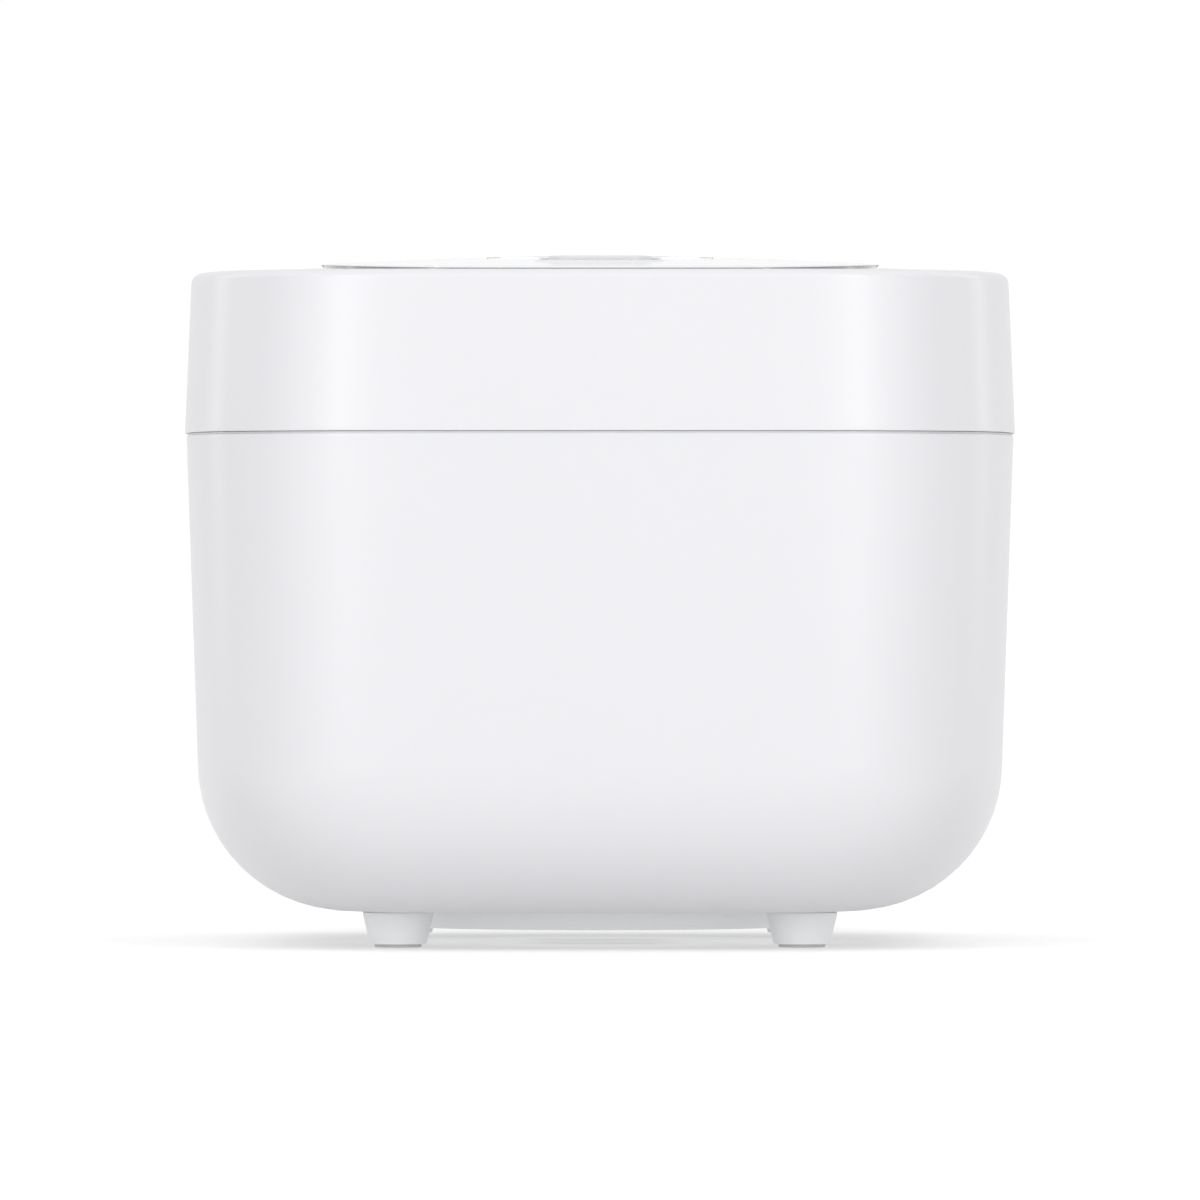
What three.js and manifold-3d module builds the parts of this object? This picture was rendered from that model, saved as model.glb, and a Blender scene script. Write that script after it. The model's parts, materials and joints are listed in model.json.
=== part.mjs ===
// An electric pressure cooker for the table top: a moulded body on four feet, a lid hinged at the
// back, a lift-out pot over a heating plate, and the valves, latch and boards that make it work.
// Millimetres, +Z up, the front faces -Y, and the origin is on the table under the middle of the object.

import * as THREE from "three";
import { mergeVertices } from "three/addons/utils/BufferGeometryUtils.js";
import Module from "manifold-3d";

const wasm = await Module();
wasm.setup();

// ---------------------------------------------------------------------------------------------
// Driving dimensions
// ---------------------------------------------------------------------------------------------

const GAP = 0.3; // between pieces that touch
const PLAN_SIDES = 40; // corners of the squared-off outline of the body and the lid
const PLAN_POWER = 5; // exponent of that outline: 2 is an ellipse, more is squarer
const ROUND_SIDES = 32; // facets of the large round pieces
const SMALL_SIDES = 16; // facets of the small round pieces

const BODY = {
  halfWidth: 133.1,
  halfLength: 169,
  centreY: -13,
  bottomZ: 11.4,
  seamZ: 164,
  wall: 3,
  bottomRadius: 47,
  draft: 0.034,
};
const LID = {
  flare: 0.5, // the lid's lower edge stands this far proud of the body
  shoulderZ: 212.4,
  topZ: 215.4,
  wall: 2.6,
  draft: 0.042,
  edgeRadius: 3,
};
const PANEL = {
  halfWidth: 90,
  halfLength: 136,
  centreY: -18,
  endZ: 216.6, // height of the arch at its front and back ends
  rise: 5.9, // how far the arch climbs from its ends to the middle
  sideFall: 0.52, // share of that rise lost at the sides
  thick: 3,
  proud: 1.2, // above the lid around it
};
const POT = { y: -22, outer: 114.5, inner: 111.8, flange: 121, rimZ: 163.5, bottomZ: 44, wall: 2.5 };
const FRAME = { lowZ: 158, highZ: 161, lipZ: 163.6, opening: 115.8 };
const LINER = { outer: 119, inner: 118, bottomZ: 19, topZ: 157.5 };
const PLATE = { lowZ: 31, highZ: 43.7, outer: 88, hole: 19 };
const HINGE = { y: 164.5, z: 168, barrel: 7, pin: 3, bore: 3.2, halfSpan: 76, knuckleFrom: 46 };
const HOUSING = { bottomZ: 88, topZ: 160, backY: 182.5 };
const CUP = { halfWidth: 44, frontY: 159, lowZ: 96, highZ: 138, wall: 1.6 };
const FOOT = { x: 64.6, y: 88, top: 11.5, bottom: 9, height: 11.1 };
const INLET = { halfWidth: 12, lowZ: 64, highZ: 80, depth: 16, wall: 1.7 };
const WINDOW_Y = -82; // the display, behind the release button
const VENT_Y = 58; // the steam path, from the pot up through the lid
const SAFETY = { x: -38, y: 40 }; // the safety valve's axis
const THERMISTOR = { x: 62, y: 20 };
const LATCH = { y: -158, z: 190, pin: 1.5, tipZ: 151, halfWidth: 8 };
const BUTTON = { y: -118, halfWidth: 19, halfDepth: 8, topZ: 220.8, stemZ: 194.6, stemY: -124.5 };
const CAP = { halfWidth: 18.5, halfDepth: 25, topZ: 223.8, lowZ: 199.5, wall: 1.6 };

const shellArcZ = BODY.bottomZ + BODY.bottomRadius;
const innerLidZ = 170; // underside of the detachable inner lid

// ---------------------------------------------------------------------------------------------
// Materials
// ---------------------------------------------------------------------------------------------

const paint = (color, roughness, metalness = 0) =>
  new THREE.MeshStandardMaterial({ color, roughness, metalness });
const whiteShell = paint(0xf1f1f3, 0.38);
const whiteGloss = paint(0xf8f8fa, 0.2);
const greyPlastic = paint(0xb9bbc0, 0.5);
const darkPlastic = paint(0x2a2b2e, 0.45);
const smokedLens = paint(0x16181c, 0.08);
const silicone = paint(0xd8d9dc, 0.7);
const blackCoating = paint(0x26262a, 0.4, 0.2);
const aluminium = paint(0xbfc1c4, 0.35, 1);
const steel = paint(0xc4c6c9, 0.25, 1);
const circuit = paint(0x1f5f3a, 0.5);
const copper = paint(0xb8763e, 0.4, 1);
const leadRed = paint(0xb23a2c, 0.5);
const whiteLead = paint(0xe6e3da, 0.5);

// ---------------------------------------------------------------------------------------------
// Shape helpers: every one returns a closed BufferGeometry
// ---------------------------------------------------------------------------------------------

function bare(geometry) {
  const copy = geometry.clone();
  const extras = Object.keys(copy.attributes).filter((name) => name !== "position");
  extras.forEach((name) => copy.deleteAttribute(name));
  return mergeVertices(copy, 1e-4);
}

function toSolid(geometry) {
  const merged = bare(geometry);
  const corners = merged.index.array;
  const kept = [];
  for (let i = 0; i < corners.length; i += 3) {
    const [a, b, c] = corners.subarray(i, i + 3);
    if (a !== b && b !== c && c !== a) kept.push(a, b, c);
  }
  const vertProperties = merged.attributes.position.array;
  const make = (triangles) =>
    new wasm.Manifold(new wasm.Mesh({ numProp: 3, vertProperties, triVerts: new Uint32Array(triangles) }));
  const made = make(kept);
  if (made.volume() > 0) return made;
  return make(kept.reverse());
}

function toGeometry(made) {
  const mesh = made.getMesh();
  const geometry = new THREE.BufferGeometry();
  geometry.setAttribute("position", new THREE.BufferAttribute(mesh.vertProperties, 3));
  geometry.setIndex(new THREE.BufferAttribute(mesh.triVerts, 1));
  return geometry;
}

function combine(operation, first, others) {
  return toGeometry(others.reduce((made, other) => made[operation](toSolid(other)), toSolid(first)));
}
const join = (first, ...others) => combine("add", first, others);
const cut = (first, ...others) => combine("subtract", first, others);
const common = (first, ...others) => combine("intersect", first, others);

function block([x0, x1], [y0, y1], [z0, z1]) {
  const box = new THREE.BoxGeometry(x1 - x0, y1 - y0, z1 - z0);
  return box.translate((x0 + x1) / 2, (y0 + y1) / 2, (z0 + z1) / 2);
}

// A round bar from one height to another, standing on (x, y).
function post(radius, z0, z1, [x, y] = [0, 0], sides = SMALL_SIDES) {
  const bar = new THREE.CylinderGeometry(radius, radius, z1 - z0, sides).rotateX(Math.PI / 2);
  return bar.translate(x, y, (z0 + z1) / 2);
}

// A round bar along X, centred on (y, z).
function crossBar(radius, x0, x1, [y, z], sides = SMALL_SIDES) {
  const bar = new THREE.CylinderGeometry(radius, radius, x1 - x0, sides).rotateZ(Math.PI / 2);
  return bar.translate((x0 + x1) / 2, y, z);
}

// A turned piece about Z: [radius, height] points that start and end on the axis.
function turned(profile, sides = ROUND_SIDES) {
  const points = profile.map(([r, z]) => new THREE.Vector2(r, z));
  return new THREE.LatheGeometry(points, sides).rotateX(Math.PI / 2);
}

// A turned ring about Z: the [radius, height] points close on themselves.
const turnedRing = (profile, sides = ROUND_SIDES) => turned([...profile, profile[0]], sides);

// Points on an arc of a profile, between two angles in degrees.
function arc([r, z], radius, from, to, steps) {
  return Array.from({ length: steps + 1 }, (_, i) => {
    const angle = THREE.MathUtils.degToRad(from + ((to - from) * i) / steps);
    return [r + radius * Math.cos(angle), z + radius * Math.sin(angle)];
  });
}

// A flat outline raised from one height to another.
function raised(shape, z0, z1, curveSegments = 4) {
  const options = { depth: z1 - z0, bevelEnabled: false, curveSegments };
  return new THREE.ExtrudeGeometry(shape, options).translate(0, 0, z0);
}

// An outline drawn in Y and Z, drawn out along X.
function alongX(shape, x0, x1, curveSegments = 4) {
  const options = { depth: x1 - x0, bevelEnabled: false, curveSegments };
  const turn = new THREE.Matrix4().makeBasis(
    new THREE.Vector3(0, 1, 0),
    new THREE.Vector3(0, 0, 1),
    new THREE.Vector3(1, 0, 0),
  );
  return new THREE.ExtrudeGeometry(shape, options).applyMatrix4(turn).translate(x0, 0, 0);
}

const outline = (points) => new THREE.Shape(points.map(([x, y]) => new THREE.Vector2(x, y)));

function roundedBox(halfX, halfY, radius, [x, y] = [0, 0]) {
  const shape = new THREE.Shape();
  const quarter = Math.PI / 2;
  const [left, right, low, high] = [x - halfX, x + halfX, y - halfY, y + halfY];
  shape.absarc(right - radius, high - radius, radius, 0, quarter);
  shape.absarc(left + radius, high - radius, radius, quarter, 2 * quarter);
  shape.absarc(left + radius, low + radius, radius, 2 * quarter, 3 * quarter);
  shape.absarc(right - radius, low + radius, radius, 3 * quarter, 4 * quarter);
  return shape;
}

// The squared-off outline that the body, the lid and the top panel share.
function plan(halfX, halfY, centreY = BODY.centreY) {
  const bend = (v) => Math.sign(v) * Math.abs(v) ** (2 / PLAN_POWER);
  return Array.from({ length: PLAN_SIDES }, (_, i) => {
    const t = (2 * Math.PI * i) / PLAN_SIDES;
    return [halfX * bend(Math.cos(t)), centreY + halfY * bend(Math.sin(t))];
  });
}

const ring = (halfX, halfY, z, centreY) => plan(halfX, halfY, centreY).map(([x, y]) => [x, y, z]);

// A skin over rings of equal length. A closed one joins the last ring to the first; an open one is
// capped by a fan at each end.
function loft(rings, closed = false) {
  const sides = rings[0].length;
  const points = rings.flat();
  const index = [];
  const bands = closed ? rings.length : rings.length - 1;
  for (let r = 0; r < bands; r++) {
    const next = (r + 1) % rings.length;
    for (let s = 0; s < sides; s++) {
      const t = (s + 1) % sides;
      const corners = [r * sides + s, r * sides + t, next * sides + t, next * sides + s];
      index.push(corners[0], corners[1], corners[2], corners[0], corners[2], corners[3]);
    }
  }
  if (!closed) {
    [rings[0], rings.at(-1)].forEach((end, which) => {
      const middle = [0, 1, 2].map((k) => end.reduce((sum, p) => sum + p[k], 0) / sides);
      const hub = points.push(middle) - 1;
      const first = which ? (rings.length - 1) * sides : 0;
      for (let s = 0; s < sides; s++) {
        const edge = [first + s, first + ((s + 1) % sides)];
        index.push(hub, edge[which ? 0 : 1], edge[which ? 1 : 0]);
      }
    });
  }
  const geometry = new THREE.BufferGeometry();
  geometry.setAttribute("position", new THREE.Float32BufferAttribute(points.flat(), 3));
  return geometry.setIndex(index);
}

// A round wire or tube along a smooth curve, with an optional bore.
function wire(curve, radius, steps, sides = 6, bore = 0) {
  const circle = (r) => Array.from({ length: sides }, (_, i) => {
    const t = (2 * Math.PI * i) / sides;
    return new THREE.Vector2(r * Math.cos(t), r * Math.sin(t));
  });
  const section = new THREE.Shape(circle(radius));
  if (bore) section.holes.push(new THREE.Path(circle(bore).reverse()));
  return new THREE.ExtrudeGeometry(section, { steps, extrudePath: curve, bevelEnabled: false });
}

const route = (points) => new THREE.CatmullRomCurve3(points.map((p) => new THREE.Vector3(...p)));

// A coil spring standing on z0, about the axis (x, y).
class Coil extends THREE.Curve {
  constructor(radius, z0, z1, turns, [x, y] = [0, 0]) {
    super();
    Object.assign(this, { radius, z0, z1, turns, x, y });
  }
  getPoint(t, target = new THREE.Vector3()) {
    const angle = 2 * Math.PI * this.turns * t;
    const z = this.z0 + (this.z1 - this.z0) * t;
    return target.set(this.x + this.radius * Math.cos(angle), this.y + this.radius * Math.sin(angle), z);
  }
}

function spring(radius, gauge, z0, z1, turns, at) {
  const stepsPerTurn = 8;
  const coil = new Coil(radius, z0 + gauge, z1 - gauge, turns, at);
  return wire(coil, gauge, turns * stepsPerTurn, 4);
}

// ---------------------------------------------------------------------------------------------
// Base
// ---------------------------------------------------------------------------------------------

// The body's outer form, shrunk by an offset, from its rounded bottom up to a given height.
function bodyForm(offset, topZ) {
  const radius = BODY.bottomRadius - offset;
  const arcSteps = 5;
  const rings = [];
  for (let i = 0; i <= arcSteps; i++) {
    const angle = (Math.PI / 2) * (1 - i / arcSteps);
    const inset = (BODY.seamZ - shellArcZ) * BODY.draft + BODY.bottomRadius - radius * Math.cos(angle);
    const z = shellArcZ - radius * Math.sin(angle);
    rings.push(ring(BODY.halfWidth - inset, BODY.halfLength - inset, z));
  }
  const topInset = (BODY.seamZ - topZ) * BODY.draft + offset;
  rings.push(ring(BODY.halfWidth - topInset, BODY.halfLength - topInset, topZ));
  return loft(rings);
}

const BASE_HOLE = 74;
const SPOUT = [[0, 145, 157.2], [0, 145, 154.5], [0, 149, 150], [0, 156, 147], [0, 165, 144]];

function outerBody() {
  const hollow = bodyForm(BODY.wall, BODY.seamZ + 4);
  const baseHole = post(BASE_HOLE, 0, BODY.bottomZ + 8, [0, BODY.centreY], ROUND_SIDES);
  const room = INLET.wall + GAP;
  const half = INLET.halfWidth + room;
  const inletHole = block([-half, half], [130, 170], [INLET.lowZ - room, INLET.highZ + room]);
  const spoutHole = wire(route(SPOUT), 3.6, 6, 8);
  return cut(bodyForm(0, BODY.seamZ - 0.4), hollow, baseHole, inletHole, spoutHole);
}

function basePlate() {
  const dish = turned([
    [0, 4.8], [64, 4.8], [70, 6.2], [74.4, 8.6], [77, 11.1],
    [73.2, 11.1], [73.2, 15], [71, 15], [71, 10.4], [62, 7.3], [0, 7.3],
  ]);
  const slots = [];
  for (const y of [-36, -24, -12, 12, 24, 36]) slots.push(block([-22, 22], [y - 2, y + 2], [0, 10]));
  return cut(dish, ...slots);
}

function foot() {
  const { bottom, top, height } = FOOT;
  return turned([[0, 0], [bottom - 1.6, 0], [bottom, 1.6], [top, height], [0, height]], 20);
}

function topFrame() {
  const halfX = BODY.halfWidth - BODY.wall - 0.6;
  const halfY = BODY.halfLength - BODY.wall - 0.6;
  const lip = 2.4;
  const sheet = raised(outline(plan(halfX, halfY)), FRAME.lowZ, FRAME.lipZ);
  const well = raised(outline(plan(halfX - lip, halfY - lip)), FRAME.highZ, FRAME.lipZ + 1);
  const bore = post(FRAME.opening, 140, 170, [0, POT.y], ROUND_SIDES);
  const collar = post(LINER.inner - 0.5, 149, FRAME.lowZ + 1, [0, POT.y], ROUND_SIDES);
  const latchSlot = block([-13, 13], [-171, -152], [150, 170]);
  const drain = post(2.4, 150, 170, SPOUT[0], 8);
  return cut(join(cut(sheet, well), collar), bore, latchSlot, drain);
}

function innerLiner() {
  const { outer, inner, bottomZ, topZ } = LINER;
  const can = turnedRing([
    [12, bottomZ], [outer - 27, bottomZ], [outer, bottomZ + 23], [outer, topZ - 1], [124, topZ - 1],
    [124, topZ], [inner, topZ], [inner, bottomZ + 23.5], [outer - 27.5, bottomZ + 1], [12, bottomZ + 1],
  ]);
  const terminalHoles = [-1, 1].map((side) => post(5, 10, 24, [side * 14, 60], 8));
  return cut(can, ...terminalHoles);
}

function heatingPlate() {
  const { lowZ, highZ, outer, hole } = PLATE;
  const disc = turnedRing([
    [hole, lowZ], [outer - 4, lowZ], [outer, lowZ + 3], [outer, highZ - 4], [outer - 4, highZ], [hole, highZ],
  ]);
  const legs = [90, 210, 330].map((degrees) => {
    const angle = THREE.MathUtils.degToRad(degrees);
    const at = [76 * Math.cos(angle), 76 * Math.sin(angle)];
    return post(5, LINER.bottomZ + 1 + GAP, lowZ + 1, at, 8);
  });
  return join(disc, ...legs);
}

function heatingElement() {
  const [radius, z, tail] = [60, 27.4, 12.5];
  const points = [[-14, radius, tail], [-14, radius, 20]];
  for (let degrees = 110; degrees <= 430; degrees += 20) {
    const angle = THREE.MathUtils.degToRad(degrees);
    points.push([radius * Math.cos(angle), radius * Math.sin(angle), z]);
  }
  points.push([14, radius, 20], [14, radius, tail]);
  return wire(route(points), 2.8, 36, 6);
}

const sensorPlunger = () =>
  turned([[0, 14], [6, 14], [6, 34], [15.5, 34], [15.5, 42.6], [14, 43.7], [0, 43.7]], SMALL_SIDES);

const sensorGuide = () =>
  turnedRing([[6.7, 15.5], [11.6, 15.5], [11.6, 20.3], [14.5, 20.3], [14.5, 22], [6.7, 22]], SMALL_SIDES);

function thermalFuse() {
  const barrel = crossBar(2.4, 24, 38, [12, 28.2], 8);
  const clip = block([29, 33], [8.5, 15.5], [28.5, 30.6]);
  return join(barrel, clip);
}

// The mains inlet: a flanged socket in the back wall, open to the rear.
function mainsInlet() {
  const { halfWidth, lowZ, highZ, wall, depth } = INLET;
  const face = 156.4;
  const half = halfWidth + wall;
  const box = block([-half, half], [face - depth - 4, face], [lowZ - wall, highZ + wall]);
  const flange = block([-halfWidth - 5, halfWidth + 5], [face - 2.4, face], [lowZ - 5, highZ + 5]);
  const socket = block([-halfWidth, halfWidth], [face - depth, face + 1], [lowZ, highZ]);
  const slots = INLET_PINS.map(([x, z]) => inletPin(x, z, GAP));
  return cut(join(box, flange), socket, ...slots);
}

const INLET_PINS = [[-7, 70], [7, 70], [0, 74]];

function inletPin(x, z, grow = 0) {
  const [halfX, halfZ] = [1 + grow, 2.2 + grow];
  return block([x - halfX, x + halfX], [130, 150], [z - halfZ, z + halfZ]);
}

// The tray stands on the floor of the body, on two legs.
function boardTray() {
  const tray = block([-66, 66], [106, 111], [42, 136]);
  const legs = [-34, 34].map((x) => block([x - 6, x + 6], [106, 111], [16.4, 43]));
  return cut(join(tray, ...legs), block([-64, 64], [108, 112], [44, 134]));
}

const powerBoard = () => block([-63, 63], [108.3, 109.9], [45, 133]);
const transformer = () => block([-52, -18], [110.2, 134], [60, 92]);
const relay = () => block([18, 40], [110.2, 127], [62, 80]);

// A flexible lead from the board, round the liner and under it, to one end of the element.
function heaterLead(side) {
  const points = [
    [side * 52, 110.3, 50], [side * 52, 113, 50], [side * 52, 117, 42], [side * 52, 108, 24],
    [side * 50, 92, 17.4], [side * 44, 70, 17], [side * 34, 50, 17], [side * 24, 40, 15],
    [side * 18.6, 38, 14],
  ];
  return wire(route(points), 1.3, 22, 5);
}

function keepWarmHeater() {
  const [inside, outside] = [LINER.outer + GAP, LINER.outer + 1.8];
  return turnedRing([[inside, 92], [outside, 92], [outside, 124], [inside, 124]]);
}

const latchStrike = () => block([-17, 17], [-158.2, -150], [155, 157.7]);

const drainSpout = () => wire(route(SPOUT), 3, 6, 8, 2);

// ---------------------------------------------------------------------------------------------
// Hinge, behind the body
// ---------------------------------------------------------------------------------------------

const [hingeY, hingeZ] = [HINGE.y, HINGE.z];

function hingeHousing() {
  const { backY, bottomZ, topZ } = HOUSING;
  const spine = outline([
    [140, bottomZ], [backY - 10, bottomZ], [backY - 3, bottomZ + 3], [backY, bottomZ + 10],
    [backY, topZ - 14], [backY - 2.5, topZ - 6], [backY - 7, topZ], [140, topZ],
  ]);
  const ear = outline([
    [hingeY - HINGE.barrel, topZ - 2],
    ...arc([hingeY, hingeZ], HINGE.barrel, 180, 0, 8),
    [backY - 7, topZ],
    [backY - 7, topZ - 2],
  ]);
  const ears = [-1, 1].map((side) => {
    const ends = [side * HINGE.knuckleFrom, side * HINGE.halfSpan].sort((a, b) => a - b);
    return alongX(ear, ...ends);
  });
  const whole = join(alongX(spine, -HINGE.halfSpan, HINGE.halfSpan), ...ears);
  const cupRoom = CUP.halfWidth + 0.6;
  const recess = block([-cupRoom, cupRoom], [CUP.frontY - 1, backY + 5], [CUP.lowZ - 0.5, CUP.highZ + 10]);
  const pinBore = crossBar(HINGE.bore, 0.6 - HINGE.halfSpan, HINGE.halfSpan - 0.6, [hingeY, hingeZ]);
  const springSeats = [-37.5, 37.5].map((x) => block([x - 7.5, x + 7.5], [158.5, 175], [topZ - 1, topZ + 2]));
  const spoutHole = wire(route(SPOUT), 3.6, 6, 8);
  return cut(join(whole, ...springSeats), bodyForm(-GAP, 180), recess, pinBore, spoutHole);
}

const hingePin = () => crossBar(HINGE.pin, 1.5 - HINGE.halfSpan, HINGE.halfSpan - 1.5, [hingeY, hingeZ]);

// A torsion spring round the pin, with one straight leg lying on the housing.
class TorsionSpring extends THREE.Curve {
  getPoint(t, target = new THREE.Vector3()) {
    const [radius, turns, coilShare, width, legLength] = [4.9, 5, 0.88, 11, 9];
    const wound = Math.min(t / coilShare, 1);
    const angle = -Math.PI / 2 + 2 * Math.PI * turns * wound;
    const leg = (Math.max(t - coilShare, 0) / (1 - coilShare)) * legLength;
    return target.set(width * wound, radius * Math.cos(angle) + leg, radius * Math.sin(angle));
  }
}
const hingeSpring = () => wire(new TorsionSpring(), 0.8, 40, 4);

function lidKnuckle() {
  const wallY = BODY.centreY + BODY.halfLength + LID.flare + 0.3;
  const web = outline([
    [wallY, BODY.seamZ + 1.6], [wallY + 3, BODY.seamZ + 1], [hingeY, hingeZ - HINGE.barrel],
    ...arc([hingeY, hingeZ], HINGE.barrel, -90, 90, 8),
    [wallY + 3.6, hingeZ + 8.5], [wallY + 3.2, 194], [wallY, 196],
  ]);
  return cut(alongX(web, -28, 28), crossBar(HINGE.bore, -40, 40, [hingeY, hingeZ]));
}

// The condensate cup: an open tray with a finger lip, pushed in from behind.
function condensateCup() {
  const { halfWidth, frontY, lowZ, highZ, wall } = CUP;
  const tray = block([-halfWidth, halfWidth], [frontY, HOUSING.backY - 0.5], [lowZ, highZ]);
  const inside = block(
    [wall - halfWidth, halfWidth - wall], [frontY + wall, HOUSING.backY - 4], [lowZ + wall, highZ + 1],
  );
  const fingerLip = block([-16, 16], [HOUSING.backY - 2, HOUSING.backY], [highZ - 8, highZ - 5]);
  return cut(tray, inside, fingerLip);
}

// ---------------------------------------------------------------------------------------------
// Pot
// ---------------------------------------------------------------------------------------------

function innerPot() {
  const { outer, inner, flange, rimZ, bottomZ, wall } = POT;
  const [corner, flangeZ] = [22, FRAME.highZ + GAP];
  const waist = outer - 2.5;
  return turned([
    [0, bottomZ],
    ...arc([waist - corner, bottomZ + corner], corner, -90, 0, 4),
    [outer, flangeZ], [flange, flangeZ], [flange, rimZ], [inner, rimZ],
    ...arc([waist - corner, bottomZ + corner], corner - wall, 0, -90, 4),
    [0, bottomZ + wall],
  ]);
}

// ---------------------------------------------------------------------------------------------
// Lid
// ---------------------------------------------------------------------------------------------

// Height of the arched top at a point: it climbs from its ends and falls off a little to its sides.
function archZ([x, y]) {
  const across = x / PANEL.halfWidth;
  const along = (y - PANEL.centreY) / PANEL.halfLength;
  return PANEL.endZ + PANEL.rise * (1 - along ** 2) * (1 - PANEL.sideFall * across ** 2);
}

// A ring at a share of the top panel's size, this far under the arch.
function panelRing(share, drop) {
  const around = plan(PANEL.halfWidth * share, PANEL.halfLength * share, PANEL.centreY);
  return around.map(([x, y]) => [x, y, archZ([x, y]) - drop]);
}

function lidShell() {
  const lowZ = BODY.seamZ + 0.4;
  const [halfX, halfY] = [BODY.halfWidth + LID.flare, BODY.halfLength + LID.flare];
  const drawIn = (LID.shoulderZ - lowZ) * LID.draft;
  const wallRing = (inset, z) => ring(halfX - inset, halfY - inset, z);
  const shoulder = arc([LID.edgeRadius, LID.shoulderZ], LID.edgeRadius, 180, 90, 3);
  const lipRing = panelRing(1.008, PANEL.proud);
  const slopeRing = (inset, drop) => wallRing(inset, 0).map(([x, y], i) => {
    return [x, y, (LID.topZ + lipRing[i][2]) / 2 - drop];
  });
  const ledge = PANEL.proud + 2.1;
  const rings = [
    wallRing(0, lowZ),
    ...shoulder.map(([inset, z]) => wallRing(drawIn + inset, z)),
    slopeRing(20, 0),
    lipRing,
    panelRing(1.008, ledge),
    panelRing(0.95, ledge),
    panelRing(0.95, ledge + LID.wall),
    panelRing(1.03, ledge + LID.wall),
    slopeRing(20, LID.wall),
    wallRing(drawIn + 4, LID.topZ - LID.wall),
    wallRing(drawIn + LID.wall, LID.shoulderZ - 2),
    wallRing(LID.wall, lowZ),
  ];
  return loft(rings, true);
}

// The arched top panel before its openings are cut.
function panelBlank() {
  const { thick, centreY } = PANEL;
  return loft([
    ring(1, 1.5, archZ([0, centreY]) - thick, centreY),
    panelRing(0.6, thick),
    panelRing(1, thick),
    panelRing(1, 0.8),
    panelRing(0.985, 0.1),
    panelRing(0.93, 0),
    panelRing(0.62, 0),
    ring(1, 1.5, archZ([0, centreY]), centreY),
  ]);
}

const windowShape = (inset) => roundedBox(36 - inset, 16 - inset, 6 - inset, [0, WINDOW_Y]);
const buttonShape = (inset) => {
  const half = BUTTON.halfDepth - inset;
  return roundedBox(BUTTON.halfWidth - inset, half, half - 0.2, [0, BUTTON.y]);
};
const capShape = (inset) => {
  return roundedBox(CAP.halfWidth - inset, CAP.halfDepth - inset, 8 - inset, [0, VENT_Y]);
};

function topPanel() {
  const openings = [windowShape(0), buttonShape(-0.5), capShape(-0.8)];
  const corners = [[-54, -103], [54, -103], [-54, -60], [54, -60]];
  const bosses = corners.map((at) => post(3, 206.9, 218.6, at, 8));
  const cutters = openings.map((shape) => raised(shape, 200, 240, 3));
  return cut(join(panelBlank(), ...bosses), ...cutters);
}

const displayLens = () => common(panelBlank(), raised(windowShape(GAP), 200, 240, 3));
const displayModule = () => block([-34, 34], [WINDOW_Y - 14, WINDOW_Y + 14], [206.9, 216.2]);
const controlBoard = () => block([-60, 60], [WINDOW_Y - 27, WINDOW_Y + 28], [205, 206.6]);

function releaseButton() {
  const cap = raised(buttonShape(0), 213, BUTTON.topZ, 3);
  const stem = block([-5, 5], [BUTTON.stemY - 1.5, BUTTON.stemY + 1.5], [BUTTON.stemZ, 214]);
  return join(cap, stem);
}

function latchHook() {
  const { y, z, tipZ, halfWidth } = LATCH;
  const front = y - 6;
  const side = outline([
    [front, tipZ], [y - 1, tipZ], [y + 2, tipZ + 1.4], [y + 2.5, tipZ + 3.6], [front + 4, tipZ + 3.6],
    [front + 4, z - 6], [y, z - 4.6], [y + 6, z], [y + 37, z], [y + 37, z + 4], [y, z + 5],
    [y - 4, z + 4], [front, z],
  ]);
  return cut(alongX(side, -halfWidth, halfWidth), crossBar(LATCH.pin + GAP, -20, 20, [y, z], 10));
}

const latchPin = () => crossBar(LATCH.pin, -14.5, 14.5, [LATCH.y, LATCH.z], 10);

function lidLiner() {
  const [lowZ, sheetZ, panZ] = [165.3, 167.5, 176];
  const halfX = BODY.halfWidth - 2.65;
  const halfY = BODY.halfLength - 2.65;
  const sheet = raised(outline(plan(halfX, halfY)), lowZ, sheetZ);
  const pan = post(124.5, lowZ, panZ + 1.5, [0, POT.y], ROUND_SIDES);
  const hollow = post(122.6, 160, panZ, [0, POT.y], ROUND_SIDES);
  const stud = post(3.4, 167, panZ + 1, [0, POT.y], 10);
  const ribs = [-1, 1].map((side) => {
    const span = [side * 9, side * 13].sort((a, b) => a - b);
    return block(span, [LATCH.y - 6, LATCH.y + 6], [sheetZ - 1, LATCH.z + 5]);
  });
  const shell = join(cut(join(sheet, pan), hollow), stud, ...ribs);
  return cut(
    shell,
    block([-8.6, 8.6], [-171, -153.5], [160, 172]),
    crossBar(LATCH.pin + GAP, -14, 14, [LATCH.y, LATCH.z], 10),
    post(12.5, 160, 190, [0, VENT_Y]),
    post(10.5, 160, 190, [SAFETY.x, SAFETY.y]),
    post(4.6, 160, 190, [THERMISTOR.x, THERMISTOR.y], 10),
  );
}

function innerLidPlate() {
  const rim = innerLidZ;
  const disc = post(108, rim, rim + 1.5, [0, POT.y], ROUND_SIDES);
  return cut(
    disc,
    post(6.3, 160, 180, [0, POT.y], 12),
    post(9.5, 160, 180, [0, VENT_Y]),
    post(8.5, 160, 180, [SAFETY.x, SAFETY.y]),
  );
}

// The gasket grips the inner lid's edge in a groove, and its lip lies on the pot's rim.
function lidGasket() {
  const lipZ = POT.rimZ + GAP;
  const [groove, edge] = [108.3, 104.5];
  return turnedRing([
    [edge, innerLidZ - 2], [113, innerLidZ - 3], [114, lipZ], [119.5, lipZ], [119.5, lipZ + 3],
    [117, 173], [edge, 173], [edge, innerLidZ + 1.8], [groove, innerLidZ + 1.8], [groove, innerLidZ - GAP],
    [edge, innerLidZ - GAP],
  ]);
}

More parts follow.
